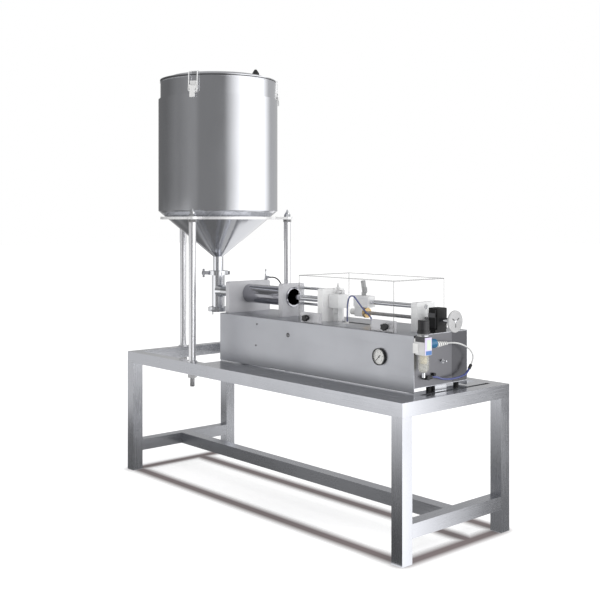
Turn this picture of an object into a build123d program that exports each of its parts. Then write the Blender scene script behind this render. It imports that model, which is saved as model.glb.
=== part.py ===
"""Bench top piston filler: a conical hopper feeds a horizontal filling cylinder on a steel table.

Millimetres, +Z up. The origin is on the floor, below the middle of the table.
The long side runs along X, the operator stands at negative Y, the stroke handwheel is at positive X.
"""
import math
import os

from build123d import *

# Clearances
free_gap = 0.3
run_fit = 0.05
seat_gap = 0.2

# Table
tube = 50.0
tube_wall = 2.5
foot_plate = 5.0
table_length = 1740.0
table_width = 590.0
table_height = 550.0
weld_gap = 0.2
stretcher_bottom = 87.0
bearer_left = -300.0
bearer_inset = 67.0
deck_width = 110.0

# Blocks and pads between the bearers and the machine box
box_lift = 20.0
riser_width = 40.0
riser_depth = (-40.0, 22.0)
riser_offset = -4.0
pad_radius = 10.0
pad_offset = -4.0
pad_places = (-51.0, 100.0)

# Machine box
box_left = -345.0
box_right = 789.0
box_half_width = 147.0
box_height = 187.0
sheet = 2.5
box_edge_radius = 2.0
panel_thickness = 3.0
panel_seam_y = 59.0
slot_left = 228.0
slot_right = 480.0
slot_half_width = 15.0

# Panel gauge
gauge_inset = 165.0
gauge_rise = 97.0
gauge_radius = 31.0
gauge_rim = 3.0
gauge_depth = 9.0
gauge_face_depth = 5.5
gauge_body_radius = 26.0
gauge_body_depth = 35.0
gauge_port_radius = 5.0
gauge_port_length = 14.0
needle_length = 23.0
needle_tail = 8.0
needle_hub = 3.5
needle_pin = 1.0
needle_thickness = 1.0
needle_angle = 225.0

# Filling line: heights above the box and places along it
line_rise = 81.0
plate_edge_radius = 8.0
head_thickness = 24.0
head_half_width = 116.0
head_rise = 55.0
cylinder_outer = 41.0
cylinder_inner = 35.0
cylinder_seat = 9.0
cylinder_step = 4.0
middle_right = -24.0
middle_thickness = 26.0
middle_half_width = 61.0
middle_rise = 57.0
guide_left = 194.0
guide_thickness = 28.0
guide_rise = 49.0
end_left = 688.0
end_thickness = 28.0
end_half_width = 50.0
end_rise = 24.0
tie_rod_y = 45.0
tie_rod_spread = (37.0, -29.0)
tie_rod_radius = 6.0
tie_rod_seat = 15.0

# Screws that hold the caps of the split plates
cap_screw = 4.0
cap_screw_head = 7.0
cap_screw_sink = 8.0
head_screw_y = 84.0
end_screw_y = 34.0
cap_screw_grip = 18.0

# Piston, its rod and the coupling block
piston_start = 1.8
piston_length = 44.0
piston_gap = 0.4
seal_width = 6.0
seal_inset = 8.0
groove_depth = 3.5
spigot_radius = 8.0
spigot_length = 27.0
rod_radius = 12.5
rod_socket = 40.0
coupling_left = 224.0
coupling_length = 56.0
coupling_half_width = 27.0
coupling_half_height = 28.0
coupling_chamfer = 2.0
arm_offset = 24.5
arm_half_length = 13.5
arm_half_width = 12.0
arm_depth = 64.0
boss_radius = 9.0
boss_height = 20.0

# Needle fitting on the coupling block
valve_offset = 8.0
valve_length = 40.0
valve_y = (2.0, 16.0)
valve_height = 16.0
stem_radius = 6.0
stem_height = 10.0
tip_height = 18.0
tip_radius = 1.5
port_radius = 5.0
port_reach = 14.0

# Stroke stop, its screw and its guide rod
guide_rod_rise = 7.0
guide_rod_radius = 9.0
guide_rod_start = 352.0
screw_drop = 36.0
screw_radius = 7.0
screw_start = 398.0
stop_left = 358.0
stop_length = 80.0
stop_half_width = 20.0
stop_rise = 30.0
stop_waist = 14.0
carrier_half_width = 14.0
carrier_bottom = 52.0
bumper_radius = 12.0
bumper_length = 28.0
nut_offset = 47.0
nut_length = 12.0
nut_radius = 20.0
lock_offset = 38.0
lock_boss = 9.0
lock_boss_height = 14.0
lock_grip = (14.0, 12.0, 50.0)
lock_tilt = 12.0
lock_centre = 34.0
lock_thumb = 7.0
lock_thumb_height = 18.0

# Counter, handwheel and the hub between them
counter_left = 752.0
counter_length = 41.0
counter_half_width = 26.0
counter_height = 77.0
counter_edge = 3.0
counter_foot = 12.0
counter_foot_shift = 6.0
counter_foot_half_width = 30.0
hub_radius = 10.0
wheel_left = 848.0
wheel_thickness = 8.0
wheel_radius = 39.5
wheel_edge = 2.0
wheel_grip = 6.0
slot_centre = 15.0
slot_length = 15.0
slot_width = 5.0
wheel_spokes = 3

# Guard
guard_left = 170.0
guard_right = 685.0
guard_half_width = 141.0
guard_height = 188.0
guard_wall = 5.0
guard_edge = 4.0
knob_rise = 20.0
knob_radius = 10.0
knob_depth = 20.7
knob_lobes = 5
lobe_radius = 4.5
lobe_reach = 9.0
lobe_depth = 14.0
stud_radius = 4.0
stud_slack = 0.6
knob_places = {"left": 223.0, "right": 652.0}
guard_block_reach = {"left": (43.0, 63.0), "right": (82.0, 32.0)}
guard_block_depth = 14.0
guard_block_height = 41.0

# Hopper and its stand
body_radius = 275.0
band_step = 9.0
rim_width = 2.0
rim_depth = 4.0
vessel_wall = 2.0
cone_height = 211.0
body_height = 512.0
band_height = 82.0
outlet_radius = 24.0
outlet_length = 75.8
ferrule_radius = 38.75
ferrule_depth = 6.0
ferrule_slope = 3.0
ring_drop = 27.0
ring_plate = 12.0
ear_radius = 23.0
post_clear = 21.0
post_spread = 178.0
post_radius = 16.0
post_thread = 10.0
post_tail = 55.0
post_stud = 8.0
post_stud_length = 29.0
flange_radius = 22.0
flange_height = 5.0
collar_radius = 19.0
collar_height = 12.0
cap_nut_flat = 13.0
cap_nut_height = 12.0
cap_nut_neck = 11.0
cap_nut_collar = 8.0
cap_nut_dome = 14.0
cap_nut_dome_base = 7.0
cap_nut_tip = 2.5
lock_nut_flat = 17.0
lock_nut_height = 17.0

# Lid
gasket_height = 4.0
gasket_width = 10.5
lid_edge = 4.0
lid_rise = 18.0
lid_sheet = 3.0
lid_shoulder = 26.0
lid_slope = 18.0
lid_handle_inset = 48.0
lid_handle_turn = 48.0
keeper_inset = (18.0, 2.0)
keeper_half_width = 12.0
keeper_height = 7.5

# Toggle latches
latch_angles = {"front": -60.0, "right": 60.0, "rear": 180.0}
lever_pin_reach = 10.0
lever_pin_drop = 52.0
bail_pin_reach = 14.0
bail_pin_drop = 70.0
pin_radius = 2.5
wire_radius = 2.2
base_plate = 3.7
base_half_width = 17.0
base_span = (-26.0, 27.0)
ear_thickness = 4.0
ear_span = (-8.0, 9.0)
ear_reach = 5.0
lever_half_width = 12.5
lever_plate = 3.4
lever_plate_reach = 6.6
lever_top = 4.0
lever_bottom = 46.0
lever_web_top = 2.0
lever_barrel = 5.5
bail_barrel = 5.0
bail_half_width = 20.5
bail_gap = 11.0
bail_bend = 4.0
bail_hook_reach = 18.0

# Product tee and its clamps
tee_rise = 80.9
tee_drop = 87.0
tee_radius = 30.0
branch_radius = 25.0
pipe_wall = 2.5
branch_neck = 33.0
branch_neck_length = 30.0
branch_neck_place = 32.0
branch_flange = 38.0
branch_flange_depth = 8.0
clamp_inner = 34.0
clamp_outer = 46.0
clamp_half_height = 10.0
clamp_slit = 1.0
clamp_slope = 2.1
clamp_root = 2.0
slit_past = 1.0
groove_slack = 0.4
hinge_half_width = 6.0
hinge_reach = 54.0
lug_reach = 76.0
lug_half_width = 10.0
lug_half_height = 8.0
bolt_reach = 66.0
bolt_radius = 3.0
bolt_span = (28.0, 14.0)
bolt_head = 6.0
bolt_head_height = 4.8
nut_hub = 8.0
nut_hub_span = (10.3, 22.0)
wing_span = (16.0, 20.0)
wing_half_width = 5.0
wing_half_height = 20.0

# Air regulator on the end panel
regulator_reach = 29.0
regulator_y = -129.0
regulator_half_x = 23.0
regulator_half_y = 20.0
regulator_drop = 1.0
regulator_height = 64.0
regulator_edge = 4.0
bonnet_radius = 18.5
bonnet_height = 10.0
bonnet_ring = 22.0
ring_lift = 2.5
ring_height = 2.0
rib_places = (4.0, 10.0, 16.0)
rib_width = 2.5
rib_depth = 1.0
bracket_half_width = 17.0
bracket_height = 51.0
bracket_lift = 5.0
bracket_lip = (35.0, 4.0, 17.0)
knob_skirt = 22.5
knob_skirt_height = 9.5
knob_grip = 20.0
knob_grip_height = 37.0
knob_crown = 3.0
bowl_radius = 19.5
bowl_wall = 3.0
bowl_length = 63.5
filter_radius = 12.0
filter_length = 29.5


def finish(piece, name):
    """Label a finished piece and write it to its own file."""
    piece.part.label = name
    export_step(piece.part, f"parts/{name}.step")


def block(x, y, z, mode=Mode.ADD):
    """A box between two x, two y and two z limits."""
    with Locations((sum(x) / 2, sum(y) / 2, sum(z) / 2)):
        Box(abs(x[1] - x[0]), abs(y[1] - y[0]), abs(z[1] - z[0]), mode=mode)


def bar_x(y, z, radius, x, mode=Mode.ADD):
    """A round bar along X between two x limits."""
    with Locations((sum(x) / 2, y, z)):
        Cylinder(radius, abs(x[1] - x[0]), rotation=(0, 90, 0), mode=mode)


def bar_y(x, z, radius, y, mode=Mode.ADD):
    """A round bar along Y between two y limits."""
    with Locations((x, sum(y) / 2, z)):
        Cylinder(radius, abs(y[1] - y[0]), rotation=(90, 0, 0), mode=mode)


def bar_z(x, y, radius, z, mode=Mode.ADD):
    """A round bar along Z between two z limits."""
    with Locations((x, y, sum(z) / 2)):
        Cylinder(radius, abs(z[1] - z[0]), mode=mode)


def lathe(profile, x=0.0, y=0.0, mode=Mode.ADD):
    """A turned shape about a vertical axis, from (radius, height) points."""
    plane = Plane(origin=(x, y, 0), x_dir=(1, 0, 0), z_dir=(0, -1, 0))
    with BuildSketch(plane, mode=Mode.PRIVATE) as section:
        with BuildLine():
            Polyline(*profile, close=True)
        make_face()
    revolve(section.sketch, axis=Axis((x, y, 0), (0, 0, 1)), mode=mode)


def around(x, y, angle):
    """A place at (x, y), turned about Z, so that local X points outward."""
    return Location((x, y, 0), (0, 0, angle))


def both_sides(reach):
    """The span from minus reach to plus reach."""
    return (-reach, reach)


os.makedirs("parts", exist_ok=True)

# Lines and levels that several pieces share
rail_x = (table_length - tube) / 2
rail_y = (table_width - tube) / 2
rail_bottom = table_height - tube
bearer_places = (bearer_left, rail_x - bearer_inset)
box_bottom = table_height + box_lift
box_top = box_bottom + box_height
gauge_x = box_right - gauge_inset
gauge_z = box_bottom + gauge_rise
line_z = box_top + line_rise
head_left = box_left
head_right = head_left + head_thickness
middle_left = middle_right - middle_thickness
guide_right = guide_left + guide_thickness
end_right = end_left + end_thickness
guide_rod_z = line_z + guide_rod_rise
screw_z = line_z - screw_drop
tee_top = line_z + tee_rise
tee_bottom = line_z - tee_drop
ferrule_bottom = tee_top + free_gap
band_radius = body_radius - band_step
hopper_x = band_radius + post_clear - rail_x
cone_bottom = ferrule_bottom + outlet_length
body_bottom = cone_bottom + cone_height
body_top = body_bottom + body_height
rim_height = body_top + band_height
ring_top = body_bottom - ring_drop
ring_bottom = ring_top - ring_plate
post_x = hopper_x + post_spread
post_places = ((post_x, -rail_y), (post_x, rail_y), (-rail_x, 0.0))

# Top frame: four mitred square tubes, bored for the three posts
half_length = table_length / 2
half_width = table_width / 2
with BuildPart() as table_top_frame:
    for inset, mode in ((0.0, Mode.ADD), (tube_wall, Mode.SUBTRACT)):
        with BuildSketch(Plane.XY.offset(rail_bottom + inset)):
            Rectangle(table_length - 2 * inset, table_width - 2 * inset)
            Rectangle(
                table_length - 2 * tube + 2 * inset,
                table_width - 2 * tube + 2 * inset,
                mode=Mode.SUBTRACT,
            )
        extrude(amount=tube - 2 * inset, mode=mode)
    for sign_x in (-1, 1):
        for sign_y in (-1, 1):
            corner = (sign_x * rail_x, sign_y * rail_y, rail_bottom + tube / 2)
            with Locations(Location(corner, (0, 0, 45 * sign_x * sign_y))):
                Box(3 * tube, weld_gap, 2 * tube, mode=Mode.SUBTRACT)
    for x, y in post_places:
        bar_z(x, y, post_thread + free_gap, (rail_bottom, table_height), Mode.SUBTRACT)
finish(table_top_frame, "table_top_frame")

# Four legs of the same tube, closed at the floor by a plate
leg_height = rail_bottom - weld_gap
with BuildPart() as table_legs:
    for x in both_sides(rail_x):
        for y in both_sides(rail_y):
            for wall, bottom, mode in ((0.0, 0.0, Mode.ADD), (tube_wall, foot_plate, Mode.SUBTRACT)):
                half = tube / 2 - wall
                block((x - half, x + half), (y - half, y + half), (bottom, leg_height), mode)
finish(table_legs, "table_legs")

# Low stretchers in an H, and level with the top frame a wide bearer along the front and two across,
# with the blocks under the box
inner_half_width = half_width - tube - weld_gap
end_stretcher_x = rail_x - tube / 2 - weld_gap
deck_inner = deck_width - inner_half_width
deck_left = bearer_places[0] - tube / 2
with BuildPart() as table_crossbars:
    for wall, mode in ((0.0, Mode.ADD), (tube_wall, Mode.SUBTRACT)):
        half = tube / 2 - wall
        low = (stretcher_bottom + wall, stretcher_bottom + tube - wall)
        high = (rail_bottom + wall, table_height - wall)
        for x in both_sides(rail_x):
            block((x - half, x + half), both_sides(inner_half_width), low, mode)
        block(both_sides(end_stretcher_x), both_sides(half), low, mode)
        block((deck_left + wall, end_stretcher_x), (wall - inner_half_width, deck_inner - wall), high, mode)
        for x in bearer_places:
            block((x - half, x + half), (deck_inner + weld_gap, inner_half_width), high, mode)
    for x in bearer_places:
        riser_left = x + riser_offset - riser_width / 2
        block((riser_left, riser_left + riser_width), riser_depth, (table_height, box_bottom))
finish(table_crossbars, "table_crossbars")

# Rubber pads beside the steel blocks
with BuildPart() as box_pads:
    for x in bearer_places:
        for y in pad_places:
            bar_z(x + pad_offset, y, pad_radius, (table_height, box_bottom))
finish(box_pads, "box_pads")

# Three posts between the table and the hopper ring
with BuildPart() as stand_posts:
    for x, y in post_places:
        bar_z(x, y, post_radius, (table_height, ring_bottom))
        bar_z(x, y, post_thread, (rail_bottom - post_tail, table_height))
        bar_z(x, y, post_stud, (ring_bottom, ring_bottom + post_stud_length))
        bar_z(x, y, flange_radius, (table_height, table_height + flange_height))
        bar_z(x, y, collar_radius, (ring_bottom - collar_height, ring_bottom))
finish(stand_posts, "stand_posts")

# Cap nuts above the ring and lock nuts below the table
neck_top = ring_top + cap_nut_height + cap_nut_collar
with BuildPart() as stand_nuts:
    for x, y in post_places:
        with BuildSketch(Plane.XY.offset(ring_top)):
            with Locations((x, y)):
                RegularPolygon(cap_nut_flat, 6, major_radius=False)
        extrude(amount=cap_nut_height)
        bar_z(x, y, cap_nut_neck, (ring_top + cap_nut_height, neck_top))
        with Locations((x, y, neck_top + cap_nut_dome / 2)):
            Cone(cap_nut_dome_base, cap_nut_tip, cap_nut_dome)
        stud_hole = (ring_top, ring_bottom + post_stud_length + 1)
        bar_z(x, y, post_stud + run_fit, stud_hole, Mode.SUBTRACT)
        with BuildSketch(Plane.XY.offset(rail_bottom - lock_nut_height)):
            with Locations((x, y)):
                RegularPolygon(lock_nut_flat, 6, major_radius=False)
                Circle(post_thread + run_fit, mode=Mode.SUBTRACT)
        extrude(amount=lock_nut_height)
finish(stand_nuts, "stand_nuts")

# Flat ring with three ears, carrying the cone of the hopper
cone_slope = (body_radius - outlet_radius) / cone_height
ring_hole = body_radius - ring_drop * cone_slope + free_gap
with BuildPart() as support_ring:
    with BuildSketch(Plane.XY.offset(ring_bottom)):
        with Locations((hopper_x, 0)):
            Circle(band_radius)
        for x, y in post_places:
            with Locations((x, y)):
                Circle(ear_radius)
            reach = math.hypot(x - hopper_x, y)
            turn = math.degrees(math.atan2(y, x - hopper_x))
            with Locations(Location(((x + hopper_x) / 2, y / 2, 0), (0, 0, turn))):
                Rectangle(reach, 2 * ear_radius)
        with Locations((hopper_x, 0)):
            Circle(ring_hole, mode=Mode.SUBTRACT)
        with Locations(*post_places):
            Circle(post_stud + free_gap, mode=Mode.SUBTRACT)
    extrude(amount=ring_plate)
finish(support_ring, "support_ring")

# Hopper vessel: body, band, rim, cone, outlet and ferrule in one welded shell
inner_outlet = outlet_radius - vessel_wall
rim_bottom = rim_height - rim_depth
hopper_profile = (
    (inner_outlet, ferrule_bottom),
    (ferrule_radius, ferrule_bottom),
    (ferrule_radius, ferrule_bottom + ferrule_depth),
    (outlet_radius, ferrule_bottom + ferrule_depth + ferrule_slope),
    (outlet_radius, cone_bottom),
    (body_radius, body_bottom),
    (body_radius, body_top),
    (band_radius, body_top),
    (band_radius, rim_bottom),
    (band_radius + rim_width, rim_bottom),
    (band_radius + rim_width, rim_height),
    (band_radius - vessel_wall, rim_height),
    (band_radius - vessel_wall, body_top - vessel_wall),
    (body_radius - vessel_wall, body_top - vessel_wall),
    (body_radius - vessel_wall, body_bottom + vessel_wall / 2),
    (inner_outlet, cone_bottom + vessel_wall / 2),
)
with BuildPart() as hopper_shell:
    lathe(hopper_profile, hopper_x)
finish(hopper_shell, "hopper_shell")

# Lid with three keepers for the latches, its gasket and its black handle
lid_edge_bottom = rim_height + gasket_height
lid_edge_top = lid_edge_bottom + lid_edge
lid_crown = lid_edge_bottom + lid_rise
skirt_radius = band_radius - lid_shoulder
crown_radius = skirt_radius - lid_slope
lid_profile = (
    (0, lid_crown),
    (crown_radius, lid_crown),
    (skirt_radius, lid_edge_top),
    (band_radius + rim_width, lid_edge_top),
    (band_radius + rim_width, lid_edge_bottom),
    (skirt_radius - rim_width, lid_edge_bottom),
    (crown_radius - rim_width, lid_crown - lid_sheet),
    (0, lid_crown - lid_sheet),
)
keeper_reach = [band_radius - inset for inset in keeper_inset]
keeper_top = lid_edge_top + keeper_height
with BuildPart() as hopper_lid:
    lathe(lid_profile, hopper_x)
    for angle in latch_angles.values():
        with Locations(around(hopper_x, 0, angle)):
            block(keeper_reach, both_sides(keeper_half_width), (lid_edge_top, keeper_top))
finish(hopper_lid, "hopper_lid")

gasket_outer = band_radius + rim_width - 0.5
gasket_profile = (
    (gasket_outer - gasket_width, rim_height),
    (gasket_outer, rim_height),
    (gasket_outer, lid_edge_bottom),
    (gasket_outer - gasket_width, lid_edge_bottom),
)
with BuildPart() as lid_gasket:
    lathe(gasket_profile, hopper_x)
finish(lid_gasket, "lid_gasket")

handle_turn = math.radians(lid_handle_turn)
lid_handle_reach = crown_radius - lid_handle_inset
handle_x = hopper_x + lid_handle_reach * math.cos(handle_turn)
handle_y = lid_handle_reach * math.sin(handle_turn)
handle_outline = ((0, 0), (9, 0), (8, 8), (17, 16), (16, 24), (6, 40), (0, 43))
with BuildPart() as lid_handle:
    lathe([(radius, lid_crown + height) for radius, height in handle_outline], handle_x, handle_y)
finish(lid_handle, "lid_handle")

# Toggle latches round the band: base plates with their pins
lever_pin = (band_radius + lever_pin_reach, rim_height - lever_pin_drop)
bail_pin = (band_radius + bail_pin_reach, rim_height - bail_pin_drop)
base_face = band_radius + free_gap + base_plate
with BuildPart() as lid_clamp_bases:
    for angle in latch_angles.values():
        with Locations(around(hopper_x, 0, angle)):
            plate_span = (lever_pin[1] + base_span[0], lever_pin[1] + base_span[1])
            block((band_radius + free_gap, base_face), both_sides(base_half_width), plate_span)
            cheek_span = (lever_pin[1] + ear_span[0], lever_pin[1] + ear_span[1])
            for side in (-1, 1):
                cheek = (side * base_half_width, side * (base_half_width - ear_thickness))
                block((base_face, lever_pin[0] + ear_reach), cheek, cheek_span)
            bar_y(*lever_pin, pin_radius, both_sides(base_half_width - ear_thickness))
finish(lid_clamp_bases, "lid_clamp_bases")

# Their levers and wire bails, which hook over the keepers
plate_front = lever_pin[0] + lever_plate_reach
hook_z = keeper_top + wire_radius + free_gap
hook_x = band_radius + rim_width + wire_radius + free_gap + ear_reach
for side, angle in latch_angles.items():
    place = around(hopper_x, 0, angle)
    width = both_sides(lever_half_width)
    with BuildPart() as latch_lever:
        with Locations(place):
            plate_top = lever_pin[1] + lever_top
            block((plate_front, plate_front + lever_plate), width, (lever_pin[1] - lever_bottom, plate_top))
            web_top = (lever_pin[1] - lever_web_top, plate_top)
            block((lever_pin[0] + ear_reach - 1, plate_front + 1), width, web_top)
            block((lever_pin[0] + 1, plate_front + 1), width, (bail_pin[1], lever_pin[1]))
            bar_y(*lever_pin, lever_barrel, width)
            bar_y(*bail_pin, bail_barrel, width)
            bar_y(*lever_pin, pin_radius + run_fit, width, Mode.SUBTRACT)
            bar_y(*bail_pin, wire_radius + run_fit, width, Mode.SUBTRACT)
    finish(latch_lever, f"latch_lever_{side}")

    bail_route = (
        (bail_pin[0], -bail_gap, bail_pin[1]),
        (bail_pin[0], -bail_half_width, bail_pin[1]),
        (hook_x, -bail_half_width, hook_z - bail_bend),
        (hook_x - bail_hook_reach, -bail_half_width, hook_z),
        (hook_x - bail_hook_reach, bail_half_width, hook_z),
        (hook_x, bail_half_width, hook_z - bail_bend),
        (bail_pin[0], bail_half_width, bail_pin[1]),
        (bail_pin[0], bail_gap, bail_pin[1]),
    )
    with BuildPart() as latch_bail:
        with BuildLine():
            FilletPolyline(*bail_route, radius=bail_bend)
        with BuildSketch(Plane(origin=bail_route[0], z_dir=(0, -1, 0))):
            Circle(wire_radius)
        sweep()
    latch_bail.part = place * latch_bail.part
    finish(latch_bail, f"latch_bail_{side}")

# Tee: upright tube with two ferrules and a branch to the head plate
ferrule_end = ferrule_depth + ferrule_slope
ferrule_outline = ((0, 0), (ferrule_radius, 0), (ferrule_radius, ferrule_depth), (tee_radius, ferrule_end))
branch_end = head_left - free_gap
with BuildPart() as tee_valve:
    bar_z(hopper_x, 0, tee_radius, (tee_bottom, tee_top))
    lathe([(r, tee_bottom + h) for r, h in ferrule_outline] + [(0, tee_bottom + ferrule_end)], hopper_x)
    lathe([(r, tee_top - h) for r, h in ferrule_outline] + [(0, tee_top - ferrule_end)], hopper_x)
    with Locations(Location((hopper_x + branch_neck_place, 0, line_z), (0, 90, 0))):
        Cone(branch_neck, branch_radius, branch_neck_length)
    bar_x(0, line_z, branch_radius, (hopper_x, branch_end))
    bar_x(0, line_z, branch_flange, (branch_end - branch_flange_depth, branch_end))
    bar_z(hopper_x, 0, tee_radius - pipe_wall, (tee_bottom, tee_top), Mode.SUBTRACT)
    bar_x(0, line_z, branch_radius - pipe_wall, (hopper_x, head_left), Mode.SUBTRACT)
finish(tee_valve, "tee_valve")

# Hinged pipe clamps on the two ferrule joints, their bolts, and the open ring at the outlet
clamps = {"upper": (tee_top, -132.0, 1), "lower": (tee_bottom, -42.0, -1)}
band_inner = ferrule_radius + free_gap
groove_edge = ferrule_depth + groove_slack
groove_foot = ferrule_depth + clamp_slope
clamp_outline = (
    (clamp_inner, -clamp_half_height),
    (clamp_outer, -clamp_half_height),
    (clamp_outer, clamp_half_height),
    (clamp_inner, clamp_half_height),
    (clamp_inner, groove_foot),
    (band_inner, groove_edge),
    (band_inner, -groove_edge),
    (clamp_inner, -groove_foot),
)
tee_bore = tee_radius - pipe_wall
with BuildPart() as pipe_clamps:
    for height, angle, nut_side in clamps.values():
        lathe([(r, height + h) for r, h in clamp_outline], hopper_x)
        with Locations(around(hopper_x, 0, angle)):
            lug = (height - lug_half_height, height + lug_half_height)
            block((clamp_outer - clamp_root, lug_reach), both_sides(lug_half_width), lug)
            block((-hinge_reach, clamp_root - clamp_outer), both_sides(hinge_half_width), lug)
            slit = (height - clamp_half_height - slit_past, height + clamp_half_height + slit_past)
            slit_x = (-hinge_reach - slit_past, lug_reach + slit_past)
            block(slit_x, both_sides(clamp_slit), slit, Mode.SUBTRACT)
            bolt_hole = both_sides(lug_half_width + slit_past)
            bar_y(bolt_reach, height, bolt_radius + free_gap, bolt_hole, Mode.SUBTRACT)
            bar_y(bolt_reach, height, bolt_radius, (bolt_span[0] * nut_side, -bolt_span[1] * nut_side))
            head_start = lug_half_width + seat_gap
            head = (-head_start * nut_side, -(head_start + bolt_head_height) * nut_side)
            bar_y(bolt_reach, height, bolt_head, head)
    outlet_ring = (
        (tee_bore, tee_bottom - ferrule_depth),
        (ferrule_radius, tee_bottom - ferrule_depth),
        (ferrule_radius, tee_bottom - seat_gap),
        (tee_bore, tee_bottom - seat_gap),
    )
    lathe(outlet_ring, hopper_x)
finish(pipe_clamps, "pipe_clamps")

for side, (height, angle, nut_side) in clamps.items():
    hub_span = [reach * nut_side for reach in nut_hub_span]
    wings = [reach * nut_side for reach in wing_span]
    with BuildPart() as wing_nut:
        with Locations(around(hopper_x, 0, angle)):
            bar_y(bolt_reach, height, nut_hub, hub_span)
            wing_z = (height - wing_half_height, height + wing_half_height)
            block((bolt_reach - wing_half_width, bolt_reach + wing_half_width), wings, wing_z)
            bar_y(bolt_reach, height, bolt_radius + run_fit, hub_span, Mode.SUBTRACT)
    finish(wing_nut, f"wing_nut_{side}")


def cap_screws(x, reach_y, top):
    """Counterbored screw holes down through a cap, either side of its middle."""
    with Locations((x, -reach_y, top), (x, reach_y, top)):
        CounterBoreHole(cap_screw, cap_screw_head, cap_screw_sink)


def screw_seats(x, reach_y, top):
    """Blind holes in the base below the cap's screws."""
    for y in both_sides(reach_y):
        bar_z(x, y, cap_screw, (top - cap_screw_grip, top), Mode.SUBTRACT)


# Split plates that hold the filling cylinder: a base and a cap each
plate_seam = line_z - seat_gap
head_x = (head_left, head_right)
head_middle = sum(head_x) / 2
head_seat = (head_left + cylinder_seat, head_right)
cylinder_socket = cylinder_outer + seat_gap
head_top = line_z + head_rise
with BuildPart() as head_plate_base:
    block(head_x, both_sides(head_half_width), (box_top, plate_seam))
    bar_x(0, line_z, cylinder_socket, head_seat, Mode.SUBTRACT)
    bar_x(0, line_z, branch_radius - pipe_wall, head_x, Mode.SUBTRACT)
    screw_seats(head_middle, head_screw_y, plate_seam)
finish(head_plate_base, "head_plate_base")

with BuildPart() as head_plate_cap:
    block(head_x, both_sides(head_half_width), (line_z, head_top))
    fillet(head_plate_cap.edges().filter_by(Axis.X).group_by(Axis.Z)[-1], plate_edge_radius)
    bar_x(0, line_z, cylinder_socket, head_seat, Mode.SUBTRACT)
    bar_x(0, line_z, branch_radius - pipe_wall, head_x, Mode.SUBTRACT)
    cap_screws(head_middle, head_screw_y, head_top)
finish(head_plate_cap, "head_plate_cap")

middle_x = (middle_left, middle_right)
middle_centre = sum(middle_x) / 2
middle_top = line_z + middle_rise
tie_rods = [(tie_rod_y, line_z + rise) for rise in tie_rod_spread]
tie_hole = tie_rod_radius + seat_gap
middle_seat = (middle_right - tie_rod_seat, middle_right)
with BuildPart() as middle_plate_base:
    block(middle_x, both_sides(middle_half_width), (box_top, plate_seam))
    bar_x(0, line_z, cylinder_socket, middle_x, Mode.SUBTRACT)
    bar_x(*tie_rods[1], tie_hole, middle_seat, Mode.SUBTRACT)
finish(middle_plate_base, "middle_plate_base")

with BuildPart() as middle_plate_cap:
    block(middle_x, both_sides(middle_half_width), (line_z, middle_top))
    fillet(middle_plate_cap.edges().filter_by(Axis.X).group_by(Axis.Z)[-1], plate_edge_radius)
    bar_x(0, line_z, cylinder_socket, middle_x, Mode.SUBTRACT)
    bar_x(*tie_rods[0], tie_hole, middle_seat, Mode.SUBTRACT)
finish(middle_plate_cap, "middle_plate_cap")

# Guide plate for the piston rod
guide_x = (guide_left, guide_right)
with BuildPart() as guide_plate:
    block(guide_x, both_sides(middle_half_width), (box_top, line_z + guide_rise))
    fillet(guide_plate.edges().filter_by(Axis.X).group_by(Axis.Z)[-1], plate_edge_radius)
    bar_x(0, line_z, rod_radius + run_fit, guide_x, Mode.SUBTRACT)
    for y, z in tie_rods:
        bar_x(y, z, tie_hole, (guide_left, guide_left + tie_rod_seat), Mode.SUBTRACT)
finish(guide_plate, "guide_plate")

# End plate that clamps the guide rod and carries the stroke screw
end_x = (end_left, end_right)
end_top = line_z + end_rise
guide_hole = guide_rod_radius + seat_gap
with BuildPart() as end_plate_base:
    block(end_x, both_sides(end_half_width), (box_top, guide_rod_z - seat_gap))
    bar_x(0, guide_rod_z, guide_hole, end_x, Mode.SUBTRACT)
    bar_x(0, screw_z, screw_radius + run_fit, end_x, Mode.SUBTRACT)
    screw_seats(sum(end_x) / 2, end_screw_y, guide_rod_z - seat_gap)
finish(end_plate_base, "end_plate_base")

with BuildPart() as end_plate_cap:
    block(end_x, both_sides(end_half_width), (guide_rod_z, end_top))
    fillet(end_plate_cap.edges().filter_by(Axis.X).group_by(Axis.Z)[-1], plate_edge_radius)
    bar_x(0, guide_rod_z, guide_hole, end_x, Mode.SUBTRACT)
    cap_screws(sum(end_x) / 2, end_screw_y, end_top)
finish(end_plate_cap, "end_plate_cap")

# Filling cylinder, its piston with two seals, and the piston rod
cylinder_left = head_left + cylinder_seat + seat_gap
cylinder_right = middle_right + cylinder_step
with BuildPart() as filling_cylinder:
    bar_x(0, line_z, cylinder_outer, (cylinder_left, cylinder_right))
    bar_x(0, line_z, cylinder_inner, (cylinder_left, cylinder_right), Mode.SUBTRACT)
finish(filling_cylinder, "filling_cylinder")

piston_left = cylinder_left + piston_start
piston_right = piston_left + piston_length
piston_radius = cylinder_inner - piston_gap
groove_radius = piston_radius - groove_depth
seal_places = (piston_left + seal_inset, piston_right - seal_inset - seal_width)
spigot_hole = (piston_right - spigot_length - 1, piston_right)
with BuildPart() as piston:
    bar_x(0, line_z, piston_radius, (piston_left, piston_right))
    for x in seal_places:
        bar_x(0, line_z, piston_radius, (x, x + seal_width), Mode.SUBTRACT)
        bar_x(0, line_z, groove_radius, (x, x + seal_width))
    bar_x(0, line_z, spigot_radius + run_fit, spigot_hole, Mode.SUBTRACT)
finish(piston, "piston")

with BuildPart() as piston_seals:
    for x in seal_places:
        bar_x(0, line_z, cylinder_inner - run_fit, (x + seat_gap, x + seal_width - seat_gap))
    bar_x(0, line_z, groove_radius + run_fit, (piston_left, piston_right), Mode.SUBTRACT)
finish(piston_seals, "piston_seals")

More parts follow.
